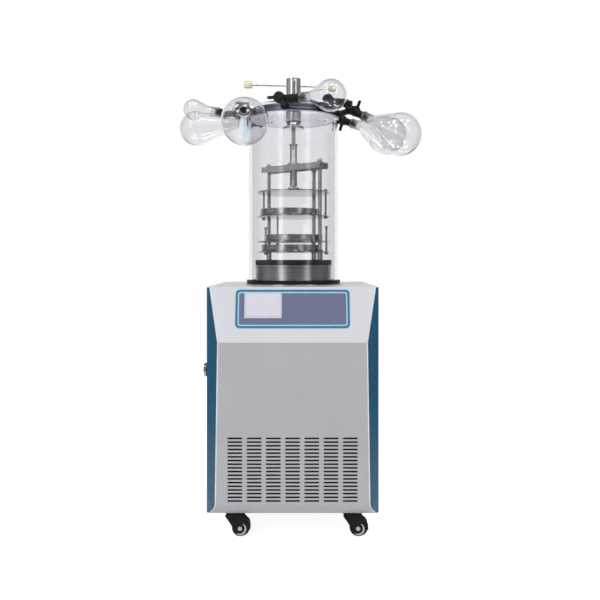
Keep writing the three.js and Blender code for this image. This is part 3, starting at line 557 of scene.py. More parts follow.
# %% Turning on a lathe
def turned(outline, steps=96, marks=None):
    """A closed outline of (radius, height), turned. marks gives each side's finish."""
    points, faces, finishes = [], [], []
    count = len(outline)
    for step in range(steps):
        turn = math.tau * step / steps
        points += [(r * math.cos(turn), r * math.sin(turn), z) for r, z in outline]
    for step in range(steps):
        here, there = step * count, (step + 1) % steps * count
        for place in range(count):
            after = (place + 1) % count
            faces.append((here + place, there + place, there + after, here + after))
            finishes.append(marks[place] if marks else 0)
    return points, faces, finishes


def spun(corners, steps=96):
    """Corners rounded as given, then turned."""
    return turned(rounded(corners), steps)


print("faces of a turned ring:", len(spun([(5, 0, 1), (8, 0, 1), (8, 4, 1), (5, 4, 1)])[1]))


# %% Cutting out a plate
def moved_in(loop, distance):
    """A counter-clockwise loop, moved in by a distance."""
    moved_loop = []
    for place, corner in enumerate(loop):
        here = Vector(corner)
        ahead = (Vector(loop[(place + 1) % len(loop)]) - here).normalized()
        back = (here - Vector(loop[place - 1])).normalized()
        first, second = Vector((-back.y, back.x)), Vector((-ahead.y, ahead.x))
        moved_loop.append(tuple(here + (first + second) * distance / (1 + first.dot(second))))
    return moved_loop


def wrapped(rows, count, first=0):
    """The faces between neighbouring rows of points, each row a closed loop of count points."""
    faces = []
    for row in range(rows - 1):
        for place in range(count):
            here, after = (first + row * count + step % count for step in (place, place + 1))
            faces.append((here, after, after + count, here + count))
    return faces


def plate(outer, holes, low, high, rim=0.4):
    """A flat plate with holes. Every rim has a small chamfer."""
    loops = [(outer, 1)] + [(hole, -1) for hole in holes]
    points, faces = [], []
    levels = [(low, rim), (low + rim, 0), (high - rim, 0), (high, rim)]
    starts = []
    for loop, way in loops:
        starts.append(len(points))
        for height, inward in levels:
            ring = moved_in(loop, inward * way) if inward else loop
            points += [(x, y, height) for x, y in ring]
        faces += wrapped(len(levels), len(loop), starts[-1])
    flat = [[Vector((x, y, 0)) for x, y in moved_in(loop, rim * way)] for loop, way in loops]
    top, bottom = [], []
    for (loop, _), start in zip(loops, starts):
        bottom += [start + place for place in range(len(loop))]
        top += [start + 3 * len(loop) + place for place in range(len(loop))]
    for a, b, c in tessellate_polygon(flat):
        faces.append((top[a], top[b], top[c]))
        faces.append((bottom[c], bottom[b], bottom[a]))
    return points, faces, [0] * len(faces)


print("a loop moves in to", moved_in([(0, 0), (9, 0), (9, 9), (0, 9)], 1)[0])


# %% Discs, bars and nuts
def circle(x, y, radius, steps=32):
    turns = [math.tau * step / steps for step in range(steps)]
    return [(x + radius * math.cos(turn), y + radius * math.sin(turn)) for turn in turns]


def disc(radius, low, high, rim=0.4, steps=96):
    return turned(soft([(0, low), (radius, low), (radius, high), (0, high)], rim), steps)


def bar(radius, low, high, rim=0.5, steps=24):
    side = rounded([(radius, low, rim), (radius, high, rim), (0, high), (0, low)])[:-2]
    return turned([(0, low), *side, (0, high)], steps)


def hexagon(radius, low, high, rim=0.6):
    return plate(circle(0, 0, radius, 6), [], low, high, rim)


print("plates, discs, bars and nuts ready")

# %% [markdown]
# A shape is made where it is easy to draw, upright at the origin, and is then moved to its place.
# The last tool welds a list of shapes into one mesh, smooths it, gives it its finish, and lets it
# ride on the body of the measured model that it belongs to. Where it stands for a measured node,
# that node is hidden.


# %% Moving shapes to their places
def turn_about(axis, degrees):
    return Matrix.Rotation(math.radians(degrees), 4, axis)


def moved(shape, place):
    points, faces, finishes = shape
    return [tuple(place @ Vector(point)) for point in points], faces, finishes


def shifted(shape, x, y, z=0.0):
    return moved(shape, Matrix.Translation((x, y, z)))


def aimed(shape, start, way):
    """The shape's z axis now starts at a point and runs along a direction."""
    turn = Vector(way).to_track_quat("Z", "Y").to_matrix().to_4x4()
    return moved(shape, Matrix.Translation(start) @ turn)


def marked(shape, finish):
    points, faces, _ = shape
    return points, faces, [finish] * len(faces)


def spread(shapes, places):
    """Every shape at each of the places."""
    return [shifted(shape, x, y) for x, y in places for shape in shapes]


def polar(angle, radius):
    turn = math.radians(angle)
    return radius * math.cos(turn), radius * math.sin(turn)


def long_bar(radius, start, end, rim=0.5, steps=24):
    way = Vector(end) - Vector(start)
    return aimed(bar(radius, 0, way.length, rim, steps), start, way)


print("a quarter turn at 10 mm:", [round(value, 6) for value in polar(90, 10)])

# %% Making a piece of the scene
record = frame["record"]
body_of = {node: body for body, nodes in record["behaviour"]["bodies"].items() for node in nodes}
face_count = {}
weld_gap, sheet_weld_gap, no_length = 1e-6, 1e-5, 1e-7


def settle(made, body, nodes):
    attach(made, body)
    if nodes:
        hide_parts(*nodes)
    face_count[made.name] = len(made.data.polygons)
    return made


def made_object(shell, name, finishes, sharp):
    """An object of the welded mesh, smooth but for edges sharper than an angle in degrees."""
    mesh = bpy.data.meshes.new(name)
    shell.to_mesh(mesh)
    shell.free()
    mesh.polygons.foreach_set("use_smooth", [True] * len(mesh.polygons))
    mesh.set_sharp_from_angle(angle=math.radians(sharp))
    for finish in finishes:
        mesh.materials.append(finish)
    made = bpy.data.objects.new(name, mesh)
    scene.collection.objects.link(made)
    return made


def piece(name, shapes, finishes, node=None, body=None, sharp=38):
    """One mesh of several shapes. It stands for a node, or rides on a body as an extra."""
    shell = bmesh.new()
    for points, faces, marks in shapes:
        corners = [shell.verts.new(at(*point)) for point in points]
        for face, mark in zip(faces, marks):
            shell.faces.new([corners[index] for index in face]).material_index = mark
    bmesh.ops.remove_doubles(shell, verts=shell.verts, dist=weld_gap)
    bmesh.ops.dissolve_degenerate(shell, dist=no_length, edges=shell.edges)
    bmesh.ops.recalc_face_normals(shell, faces=shell.faces)
    made = made_object(shell, name, finishes if isinstance(finishes, list) else [finishes], sharp)
    even = made.modifiers.new("large faces lead the shading", "WEIGHTED_NORMAL")
    even.keep_sharp = True
    return settle(made, body or body_of[node], [node] if node else [])


# %% Breaking the edges of a sheet-metal piece
def break_edges(shell, edges, width, segments):
    bmesh.ops.bevel(shell, geom=edges, offset=width * MM, segments=segments, profile=0.5,
                    affect="EDGES", clamp_overlap=True)


def softened(name, node, finish, rim, reshape=None, sharp=25, smooth_below=12):
    """A copy of a measured node with its sharp edges broken. reshape may work on the mesh first."""
    shell = bmesh.new()
    shell.from_mesh(frame["nodes"][node].data)
    bmesh.ops.remove_doubles(shell, verts=shell.verts, dist=sheet_weld_gap)
    bmesh.ops.dissolve_limit(shell, angle_limit=math.radians(1), verts=shell.verts,
                             edges=shell.edges)
    if reshape:
        reshape(shell)
    edges = [edge for edge in shell.edges
             if len(edge.link_faces) == 2 and edge.calc_face_angle(0) > math.radians(sharp)]
    break_edges(shell, edges, rim, 2)
    # A rim is only as wide as its tightest corner lets it be. The front's round slot ends leave
    # it no room at all, and a rim without width would stay behind as faces without area.
    bmesh.ops.dissolve_degenerate(shell, dist=no_length, edges=shell.edges)
    made = made_object(shell, name, [finish], smooth_below)
    return settle(made, body_of[node], [node])


print("sheet-metal tool ready")

# %% [markdown]
# ## The cabinet
# The cabinet is folded sheet metal. Its grey front has seven columns of cooling slots, and its
# pale top is one sheet with the sloping fascia. The blue sides wrap round the front corners. The
# panels are already right as measured, so all they need is the broken edge that every folded and
# painted sheet has. The front panel is the exception: it keeps its crisp edges, and its slots get
# round ends, as the punch that cuts them leaves them.

# %% The line of the front, seen from the side
front_y, bend_z, top_z, floor_z = -300, 590, 753, 74
knee_z, knee_back, bottom_back = 116, 11, 42
corner_x, corner_slope, sweep = 221, 38 / 50, 1.9


def straight_back(z):
    """How far the measured front lies back at a height, where it turns under the cabinet."""
    return bottom_back - (bottom_back - knee_back) * (z - floor_z) / (knee_z - floor_z)


def curved_back(z):
    """The same, with the turn rounded into one sweep."""
    share = max(0.0, (knee_z - z) / (knee_z - floor_z))
    return knee_back + (bottom_back - knee_back) * share**sweep


knee_levels = [knee_z + 0.6, knee_z]
for share in (0.12, 0.24, 0.36, 0.48, 0.6, 0.7, 0.8, 0.88, 0.95):
    knee_levels.append(knee_z - (knee_z - floor_z) * share)


def round_the_knee(shell, set_back):
    """Cuts a sheet at the knee levels and brings its front edge forward to the rounded line."""
    for level in knee_levels:
        whole_sheet = shell.verts[:] + shell.edges[:] + shell.faces[:]
        bmesh.ops.bisect_plane(shell, geom=whole_sheet, dist=weld_gap,
                               plane_co=(0, 0, level * MM), plane_no=(0, 0, 1))
    near_enough, corner_width = 0.2, 1.6
    for point in shell.verts:
        x, y, z = (point.co.x - axis_x) / MM, (point.co.y - axis_y) / MM - front_y, point.co.z / MM
        on_front = any(abs(y - straight_back(z) - back) < near_enough for back in set_back)
        if z > knee_z - 0.01 or not on_front:
            continue
        forward = straight_back(z) - curved_back(z)
        point.co.y -= forward * MM
        if abs(x) > corner_x + corner_slope * y - corner_width:
            point.co.x -= math.copysign(forward * corner_slope * MM, x)


# %% The panels
slots_top, slot_end_radius = 312, 2.3
front_sheet, side_sheet = 1.5, 1.8


def slot_corner(edge):
    """An edge through the sheet's thickness, at the corner of a cooling slot."""
    run = edge.verts[1].co - edge.verts[0].co
    height = edge.verts[0].co.z / MM
    return run.length < 3 * MM and abs(run.y) > 0.9 * run.length and knee_z + 1 < height < slots_top


def front_shape(shell):
    break_edges(shell, [edge for edge in shell.edges if slot_corner(edge)], slot_end_radius, 4)
    round_the_knee(shell, (0, front_sheet))


def side_shape(shell):
    round_the_knee(shell, (side_sheet,))


for made_name, node, finish, rim, reshape in [
    ("left_side_panel", "side_panel_left", blue_paint, 0.45, side_shape),
    ("right_side_panel", "side_panel_right", blue_paint, 0.45, side_shape),
    ("top_and_fascia", "top_cover", white_paint, 0.5, None),
    ("back_panel", "rear_panel", grey_paint, 0.4, None),
    ("floor_pan", "base_pan", grey_paint, 0.5, None),
    ("slotted_front", "front_panel", grey_paint, 0.3, front_shape),
]:
    softened(made_name, node, finish, rim, reshape)
print("front panel faces:", face_count["slotted_front"])

# %% [markdown]
# A white strip lies along the seam between the grey front and each blue side, a painted
# highlight where the sheet edges catch the light. It follows the front as it leans and turns
# under, and since the corner is chamfered it also runs outwards where the front lies back.


# %% The painted highlight along the front's edges
def strip_along(path, section):
    """A section of (x, y) offsets, carried along a path of points."""
    points = [(x + dx, y + dy, z) for x, y, z in path for dx, dy in section]
    count = len(section)
    faces = wrapped(len(path), count)
    faces += [tuple(range(count)), tuple(reversed(range(len(points) - count, len(points))))]
    return points, faces, [0] * len(faces)


def highlight_strip(side):
    """A rounded strip 2.4 mm wide along one edge of the front, 0.5 mm proud: painted highlight."""
    line = [(level, curved_back(level)) for level in reversed(knee_levels[1:])]
    line = [(floor_z + 0.2, bottom_back)] + line + [(bend_z - 0.5, 0)]
    path = [(side * (corner_x + corner_slope * back), front_y + back, z) for z, back in line]
    section = [(-2.4, 0.6), (-2.4, -0.2), (-2.1, -0.5), (-0.4, -0.5), (0.1, -0.2), (0.5, 0.6)]
    return strip_along(path, [(side * x, y) for x, y in section])


# The two strips are a painted highlight along the front's edges.
piece("front_highlight_strip", [highlight_strip(-1), highlight_strip(1)], edge_highlight_white, body="cabinet")
print("edging follows", len(knee_levels), "levels")

# %% [markdown]
# ## The control panel
# A printed film is glued to the sloping fascia: slate blue, with a teal border and a pale line
# inside it. A touchscreen looks through its window. Everything lies on one tilted plane, so it is
# drawn flat and tilted once. Whatever a maker would print on it stays off.

# %% The fascia's plane
fascia_depth, overlay_rise = 37, 101
slope = math.atan2(top_z - bend_z, fascia_depth)
fascia_point = Vector((0, front_y + overlay_rise * math.cos(slope),
                       bend_z + overlay_rise * math.sin(slope)))
fascia = Matrix.Translation(fascia_point) @ Matrix.Rotation(slope, 4, "X")


def pane(width, height, radius, x=0.0, y=0.0, steps=6):
    """The outline of a pane with rounded corners, its middle at x, y."""
    right, up = width / 2, height / 2
    corners = [(x + right, y - up), (x + right, y + up), (x - right, y + up), (x - right, y - up)]
    return rounded([(*corner, radius) for corner in corners], steps)


# %% Finishes of the control panel
film_slate = moulded("slate film", (0.152, 0.164, 0.272), 0.34, 1400, 0.02)
film_teal = moulded("teal film", (0.030, 0.20, 0.37), 0.34, 1400, 0.02)
film_pale = moulded("pale cyan film", (0.42, 0.68, 0.80), 0.34, 1400, 0.02)
screen_frame = moulded("screen frame", (0.60, 0.59, 0.68), 0.3, 1400, 0.02)
screen_glow = lit(moulded("lit screen", (0.65, 0.635, 0.71), 0.12, 200, 0.01),
                  (0.80, 0.78, 0.95), 0.06)
print("control panel finishes ready")

# %% The film, its border and the screen
screen_x, screen_y = -88, 12
film_width, film_height = 340, 116
screen_hole = pane(113, 81, 1.5, screen_x, screen_y)
film = plate(pane(film_width, film_height, 14), [screen_hole], 0.3, 1.0, 0.15)
border_edge = pane(film_width - 1, film_height - 1, 13.5)
border = plate(border_edge, [pane(326.5, 102.5, 9)], 0.95, 1.3, 0.1)
line = plate(pane(326, 102, 9), [pane(319, 95, 6.5)], 0.95, 1.25, 0.1)
bezel_opening = pane(101, 66, 1, screen_x, screen_y + 1)
bezel = plate(pane(112, 80, 2, screen_x, screen_y), [bezel_opening], -2, 0.9, 0.25)
display = plate(pane(110, 78, 1.5, screen_x, screen_y), [], -15.5, 0.45, 0.2)
film_layers = [moved(layer, fascia) for layer in (film, marked(border, 1), marked(line, 2))]
screen_layers = [moved(layer, fascia) for layer in (bezel, marked(display, 1))]
piece("control_film", film_layers, [film_slate, film_teal, film_pale], "control_overlay")
piece("screen", screen_layers, [screen_frame, screen_glow], "touchscreen")
print("control panel tilted by", round(math.degrees(slope), 1), "degrees")

# %% [markdown]
# ## Castors
# Four hooded castors carry the cabinet. Each has a swivel plate, two cheeks with a hood between
# them, and a wheel with a soft tread. A pale crescent and the axle's pale cap decorate each
# cheek. The wheel is turned on the lathe and laid on its side.

# %% Where the castors stand, and the parts round their axles
castor_places = {"front_left": (-178, -238), "front_right": (178, -238), "rear_left": (-178, 238),
                 "rear_right": (178, 238)}
wheel_radius, trail = 25, 19
lie_down = turn_about("X", 90)


def on_axle(shape, x, y):
    """A shape made round the z axis, laid round the axle of the castor at x, y."""
    return moved(shape, Matrix.Translation((x + trail, y, wheel_radius)) @ lie_down)


def along(angles, radii):
    return [(radius * math.cos(angle), radius * math.sin(angle))
            for angle, radius in zip(angles, radii)]


def hood(steps=28):
    """The roof between the cheeks, round the wheel."""
    start, end, inner, outer = -6, 158, 28.5, 31
    angles = [math.radians(start + (end - start) * step / steps) for step in range(steps + 1)]
    loop = along(angles, [outer] * len(angles)) + along(angles, [inner] * len(angles))[::-1]
    return plate(loop, [], -14.6, 14.6, 0.3)


def crescent(level, steps=24):
    """A pale moon of plastic let into a cheek, widest at its middle."""
    start, end = math.radians(-128), math.radians(62)
    middle_line, half_width, tip_width = 17, 2.6, 0.25
    angles, outer, inner = [], [], []
    for step in range(steps + 1):
        wide = half_width * math.sin(math.pi * step / steps) ** 0.7 + tip_width
        angles.append(start + (end - start) * step / steps)
        outer.append(middle_line + wide)
        inner.append(middle_line - wide)
    return plate(along(angles, outer) + along(angles, inner)[::-1], [], level, level + 0.6, 0.12)


print("castors stand at:", castor_places)


# %% A castor's wheel and its fork
def wheel_shapes(x, y):
    tread = soft([(19, -9.6), (24.9, -8.2), (24.9, 8.2), (19, 9.6), (17.5, 6), (17.5, -6)], 2.6)
    rim = soft([(4.3, -8.6), (8, -9.3), (17, -7.4), (19.4, -9.2), (19.4, 9.2), (17, 7.4), (8, 9.3),
                (4.3, 8.6)], 1)
    shapes = [turned(tread, 64), marked(turned(rim, 64), 1)]
    for z in (-4.5, 4.5):
        groove = soft([(24.4, z - 0.5), (25, z - 0.5), (25, z + 0.5), (24.4, z + 0.5)], 0.2)
        shapes.append(turned(groove, 64))
    return [on_axle(shape, x, y) for shape in shapes]


def fork_shapes(x, y):
    cheek = rounded([(-21, -8, 12), (-12, -21, 12), (8, -22.5, 12), (24, -14, 12), (31, 2, 8),
                     (29, 20, 10), (14, 32, 6), (12, 42.5, 1), (-44, 42.5, 3), (-45, 37, 5),
                     (-24, 8, 14)], 6)
    round_axle = [plate(cheek, [], low, low + 3, 0.7) for low in (-15, 12)] + [hood()]
    axle_cap = marked(spun([(0, 0), (6.5, 0), (6.5, 0.5), (4.6, 0.95, 0.3), (0, 0.95)], 32), 1)
    for moon_low, cap_low in ((-15.6, -15.9), (15, 15)):
        round_axle += [marked(crescent(moon_low), 1), shifted(axle_cap, 0, 0, cap_low)]
    crown = spun([(0, 63), (24, 63, 1.5), (25, 68, 1.5), (21, 70, 1), (20, 73.3, 0.5),
                  (0, 73.3)], 48)
    stem = marked(bar(6, 72, 95.8, 1), 2)
    axle = marked(bar(4, -15.8, 15.8, 0.6), 2)
    return [*(on_axle(shape, x, y) for shape in round_axle), shifted(crown, x, y),
            shifted(stem, x, y), on_axle(axle, x, y)]


for castor, (x, y) in castor_places.items():
    piece(f"castor_tyre_{castor}", wheel_shapes(x, y), [tread_rubber, castor_plastic],
          f"castor_wheel_{castor}")
    piece(f"castor_hood_{castor}", fork_shapes(x, y), [castor_plastic, castor_cap, satin_steel],
          f"castor_fork_{castor}")
print("castors made:", len(castor_places))

# %% [markdown]
# ## The drying chamber
# The chamber is a clear acrylic tube on a rubber ring. Below it, in the cabinet's top, is the
# cold trap, and a steel drum on the trap's flange carries the rack. A dark ring with a pale liner
# in its bore closes the tube's upper end; the liner's glow is painted light. The flask valves
# plug into the ring, and a thick clear lid lies on it. All of these are lathe work.

# %% Trap, seal, drum and deck
round_parts = [
    ("trap_pot", "cold_trap", satin_steel, [
        (0, 523), (108, 523, 10), (120, 535, 10), (120, 752), (121, 753.3), (164, 753.3, 0.5),
        (164, 756.3, 1), (119.5, 756.3, 1.5), (118, 750), (118, 536, 9), (107, 525, 9), (0, 525)]),
    ("base_seal", "chamber_seal", seal_rubber, [
        (134, 756.6, 1), (157.5, 756.6, 2), (157.5, 768.6, 2.5), (150.3, 768.6, 0.5),
        (150.3, 762.6), (141.7, 762.6), (141.7, 768.6, 0.5), (134, 768.6, 2)]),
    ("rack_drum", "trap_drum", drum_steel, [
        (127, 756.6), (128.4, 756.6, 0.3), (128.4, 766), (127.9, 767), (127.9, 806), (128.4, 807),
        (128.4, 817.7, 0.3), (127, 817.7)]),
    ("drum_deck", "rack_deck", seal_rubber, [
        (88, 818, 1), (128.5, 818, 1), (128.5, 835, 2), (88, 835, 2)]),
]
for made_name, node, finish, outline in round_parts:
    piece(made_name, [spun(outline, 128)], finish, node)
print("seal faces:", face_count["base_seal"])

# %% Tube, ring, lid and gland
ring_low, lid_low, lid_high, smooth_round = 1309, 1331.3, 1341.3, 160
tube_wall = soft([(142, 762.9), (149.9, 762.9), (149.9, 1308.7), (142, 1308.7)], 0.8)
piece("clear_tube", [turned(tube_wall, smooth_round)], acrylic, "chamber_tube")
ring = rounded([(138, ring_low, 1), (152.8, ring_low, 1.5), (152.8, 1317, 0.8),
                (151.6, 1318.2, 0.8), (151.6, 1322.5, 0.8), (152.8, 1323.7, 0.8),
                (152.8, 1331, 1.5), (138, 1331, 1)])
in_bore, under_ring = 139, ring_low + 0.2
# The faces in the bore and under the ring take the liner, with its painted glow.
ring_marks = [1 if max(r, after) < in_bore or max(z, level) < under_ring else 0
              for (r, z), (after, level) in zip(ring, ring[1:] + ring[:1])]
piece("dark_ring", [turned(ring, smooth_round, ring_marks)], [ring_metal, liner_with_painted_glow],
      "manifold_ring")
lid_plate = [(16, lid_low), (151.8, lid_low, 0.8), (151.8, lid_high, 1.6), (16, lid_high)]
piece("clear_lid", [spun(lid_plate, smooth_round)], lid_acrylic, "lid")
gland_radius, gland_low, dome_height, dome_turn = 26.5, 1285, 19.3, 1.134
dome = []
for step in range(11):
    angle = step * dome_turn / 10
    drop = 1 - math.sin(angle) / math.sin(dome_turn)
    dome.append((gland_radius * math.cos(angle), gland_low + dome_height * drop))
gland = [(7.3, lid_high), (14, lid_high), (15.7, 1340.5), (15.7, 1331), (gland_radius, 1331),
         (gland_radius, 1322), (25.6, 1321), (25.6, 1319), (gland_radius, 1318), *dome,
         (7.3, gland_low)]
piece("polished_gland", [turned(gland, 96)], bright_steel, "lid_gland")
print("lid thickness:", lid_high - lid_low, "mm")

# %% [markdown]
# ## The press handle and its screw
# Turning the T-bar drives the screw down through its nut in the yoke, and the screw pushes the
# shelves together to press stoppers into vials. The hub is polished, with a groove at each end.
# Its shaft reaches into a socket in the screw, and stays in it over the whole travel, so the
# socket is real too. The screw's thread is real geometry: a grid of points wrapped round the
# screw, moved in and out as the thread climbs five millimetres in each turn.

# %% The handle
bar_turn = turn_about("Z", 6.5)
bar_height, bar_middle, half_reach = 1423, -10, 129
hub = spun([(0, 1155), (6.95, 1155, 1), (6.95, 1275), (35.8, 1275, 2), (35.8, 1284, 2),
            (6.95, 1284), (6.95, 1342.2), (23.5, 1342.2, 0.8), (25.4, 1344, 0.8), (25.4, 1350, 0.5),
            (24.4, 1351, 0.5), (24.4, 1353, 0.5), (25.4, 1354, 0.5), (25.4, 1436, 0.5),
            (24.4, 1437, 0.5), (24.4, 1439, 0.5), (25.4, 1440, 0.5), (25.4, 1445.9, 2),
            (0, 1445.9)])
handle_shapes = [hub]
for radius, start, end in ((3.3, -155, 135), (5, -26.5, -24.5), (5, 24.5, 26.5)):
    cross = long_bar(radius, (start, 0, bar_height), (end, 0, bar_height), 0.4)
    handle_shapes.append(moved(cross, bar_turn))
piece("t_handle", handle_shapes, bright_steel, "handle")
grip = spun([(3.6, 0, 0.3), (10.5, 0, 1.5), (12.2, 3, 1.5), (12.4, 15, 3), (12.4, 24, 3),
             (9.5, 28.8, 4), (0, 28.8), (0, 16.3), (3.6, 16.3)], 48)
for side, end in ((-1, "left"), (1, "right")):
    bar_end = Matrix.Translation((bar_middle + side * half_reach, 0, bar_height))
    grip_place = bar_turn @ bar_end @ turn_about("Y", 90 * side)
    piece(f"cream_grip_{end}", [moved(grip, grip_place)], cream_plastic, f"handle_knob_{end}")
print("bar's height:", bar_height, "mm")


# %% The screw's thread
def thread(radius, groove, pitch, low, high, bore, depth, steps=36, levels=8):
    """A threaded bar with a socket in its top. Each ring's radius follows a V up a helix."""
    flank, crest = 2.6, 0.15
    count = round((high - low) / pitch * levels)
    points = []
    for level in range(count + 1):
        z = low + (high - low) * level / count
        for step in range(steps):
            turn = step / steps
            phase = (z / pitch - turn) % 1
            cut = groove * min(1, max(0, flank * abs(phase - 0.5) - crest))
            fade = min(1, (z - low) / 2, (high - z) / 2)
            points.append((*polar(360 * turn, radius - cut * max(0, fade)), z))
    for z in (high, high - depth):
        points += [(*polar(360 * step / steps, bore), z) for step in range(steps)]
    faces = wrapped(count + 3, steps)
    faces += [tuple(reversed(range(steps))), tuple(range((count + 2) * steps, (count + 3) * steps))]
    return points, faces, [0] * len(faces)


thread_pitch, thread_low, thread_high, socket_radius = 5, 1086, 1219, 7.3
press_screw = [
    thread(12.9, 1.3, thread_pitch, thread_low, thread_high, socket_radius, 66),
    spun([(0, 1064), (8, 1064, 1), (8, 1083), (11, 1083, 0.5), (12.4, 1087), (0, 1087)], 48),
    spun([(socket_radius, 1218), (12.4, 1218), (13.5, 1221, 0.5), (16, 1221, 0.6), (16, 1225, 0.6),
          (socket_radius, 1225)], 48),
]
piece("threaded_screw", press_screw, polished_steel, "press_screw", sharp=60)
print("turns of thread:", (thread_high - thread_low) / thread_pitch)

# %% [markdown]
# ## The shelf rack
# Three posts stand on the drum's deck. They carry the lowest shelf and, at the top, a folded yoke
# with the screw's nut. The other plates slide on the posts, and each hangs from the plate above
# it by two rods. Every plate is cut out with its holes, and every rod has the nut that holds it.

# %% Plates and rods
rod_circle, shelf_radius = 112, 120.8
upper_z, middle_z, lowest_z = 978.5, 894, 860
posts = [polar(144, 107), polar(-36, 107), polar(50, rod_circle)]
press_rods = [polar(158, rod_circle), polar(-18, rod_circle)]
shelf_rods = [polar(121, rod_circle), polar(-55, rod_circle)]
stop_rods = [polar(151, rod_circle), polar(-11, rod_circle)]


def shelf_plate(low, thickness, rods):
    holes = [circle(x, y, 7, 24) for x, y in posts] + [circle(x, y, 4.3, 16) for x, y in rods]
    return plate(circle(0, 0, shelf_radius, 128), holes, low, low + thickness, 0.5)


def rod_shapes(places, low, high):
    """Rods with a nut and washer under the plate at low, and a round head at high."""
    rod, head = marked(bar(3.5, low - 7, high, 0.5), 1), marked(bar(5.8, high - 7, high, 1.2), 1)
    nut, washer = hexagon(6, low - 6.4, low - 1.1), disc(7, low - 1.1, low - 0.05, 0.2, 32)
    return spread([rod, nut, washer, head], places)


rack_finishes = [plate_steel, rod_steel, satin_steel]
upper_shelf = [shelf_plate(upper_z, 3, shelf_rods)] + rod_shapes(press_rods, upper_z, 1070.3)
middle_shelf = [shelf_plate(middle_z, 3, stop_rods)] + rod_shapes(shelf_rods, middle_z, 988.8)
piece("upper_shelf_plate", upper_shelf, rack_finishes, "shelf_1")
piece("middle_shelf_plate", middle_shelf, rack_finishes, "shelf_2")
print("shelf faces:", face_count["upper_shelf_plate"])

# %% The press plate
boss = spun([(0, 1062), (28, 1062), (28, 1067, 1), (20, 1067, 1), (20, 1079, 1.2), (8.3, 1079, 0.6),
             (8.3, 1063.2), (0, 1063.2)], 64)
boss_screw = hexagon(3.2, 1066.5, 1069.3, 0.4)
fittings = [boss, *spread([boss_screw], [polar(angle, 24) for angle in (20, 140, 260)])]
press_shapes = [shelf_plate(1059, 4, press_rods), *(marked(shape, 2) for shape in fittings)]
piece("pressing_plate", press_shapes, [plate_steel, rod_steel, nut_steel_paled_as_highlight], "press_plate")
print("press plate faces:", face_count["pressing_plate"])

# %% The lowest shelf and its posts
lowest_plate = plate(circle(0, 0, shelf_radius, 128), [], lowest_z, lowest_z + 3, 0.5)
foot = bar(9, 835.3, 859.9, 0.8, 32)
post = bar(6, 862, 1151.6, 0.4, 32)
tip = bar(4, 1151, 1163, 0.4, 24)
post_nuts = [hexagon(9.5, 863, 869, 0.8), hexagon(9.5, 1142, 1148.6, 0.8),
             disc(9.6, 1148.7, 1150, 0.3, 32)]
base_shapes = [lowest_plate, *rod_shapes(stop_rods, lowest_z, 948),
               *spread([marked(foot, 1), marked(post, 1), marked(tip, 1), *post_nuts], posts)]
piece("post_rack", base_shapes, rack_finishes, "rack_base")
print("posts:", len(posts))

# %% The yoke
half_yoke = 122
channel = rounded([(-25, 1135, 0.6), (-22, 1135, 0.6), (-22, 1152, 1.5), (22, 1152, 1.5),
                   (22, 1135, 0.6), (25, 1135, 0.6), (25, 1155, 4), (-25, 1155, 4)], 5)
lengthways = Matrix(((0, 0, 1, 0), (1, 0, 0, 0), (0, 1, 0, 0), (0, 0, 0, 1)))
arm = rounded([(20, -17), (124, -17, 8), (124, 17, 8), (20, 17)], 6)
screw_nut = spun([(13.3, 1150), (24, 1150), (24, 1157.5, 0.8), (20, 1158, 0.5), (20, 1161.9, 1),
                  (13.3, 1161.9, 0.5)], 64)
acorn = spun([(0, 1160), (7.6, 1160), (7.6, 1164.5, 2.5), (4.6, 1168.2, 2.5), (0, 1169.4, 0)], 40)
washer = disc(10.5, 1154.9, 1155.7, 0.2, 40)
post_tops = spread([hexagon(9, 1155.6, 1162.4, 0.9), acorn, washer], posts)
folded = plate(channel, [], -half_yoke, half_yoke, 0.4)
yoke_shapes = [moved(folded, turn_about("Z", -36) @ lengthways),
               moved(plate(arm, [], 1152.2, 1154.9, 0.4), turn_about("Z", 50)),
               *(marked(shape, 2) for shape in [screw_nut, *post_tops])]
piece("folded_yoke", yoke_shapes, [folded_steel, rod_steel, nut_steel_paled_as_highlight], "yoke")
print("yoke length:", 2 * half_yoke, "mm")

# %% [markdown]
# The trays are pressed from thin steel, with a rolled rim that stiffens them. Each tray stands
# pulled a little towards the rack's open side.

# %% The trays
open_side, tray_lift, tray_height = -126, 3.3, 21.5
pulled_out = [(upper_z, 20.4), (middle_z, 0), (lowest_z, 15)]
for number, (shelf_z, pull) in enumerate(pulled_out, 1):
    low = shelf_z + tray_lift
    rim = low + tray_height
    tray = spun([(0, low), (97, low, 3), (98.9, low + 4, 1), (98.9, rim - 2.4), (100, rim - 2, 0.4),
                 (100, rim, 0.8), (98.2, rim, 0.8), (97.7, rim - 3), (97.7, low + 4, 2),
                 (96, low + 1.2, 2), (0, low + 1.2)], 128)
    piece(f"sample_tray_{number}", [shifted(tray, *polar(open_side, pull))], plate_steel,
          f"tray_{number}")
print("trays:", len(pulled_out))

# %% [markdown]
# ## Flask valves
# Seven valves are moulded in black rubber. The plug goes into the ring, the barrel holds a
# turning knob, and the outlet ends in a nozzle for the flask's neck. Each valve is drawn in a
# frame of its own, with z towards the knob's face and x along its lever, and that frame is then
# set on the ring.

# %% Where each valve points
valve_circle, valve_z, outlet_length = 196, 1334, 60
ring_outside, port_z = 145.5, 1320
# name: (port on the ring, outlet's direction, its rise, knob's direction, lever's way,
#        bulb's radius, bulb's distance from the mouth)
valves = {
    "left": (170, -174, 5.5, -84, "up", 35.5, 90),
    "front_left": (215, -84, -25, -174, "back", 72, 165),
    "front": (-100, -24, -2, -114, "back", 50, 103),
    "front_right": (-55, -10, -10, -100, "down", None, None),
    "right": (-10, -44, -28, 46, "up", 69, 165),
    "rear_right": (35, -38, -21, 52, "down", 69, 150),
    "rear_left": (125, -167, -8, 103, "up", 61, 180),
}


def valve_centre(port):
    return Vector((*polar(port, valve_circle), valve_z))


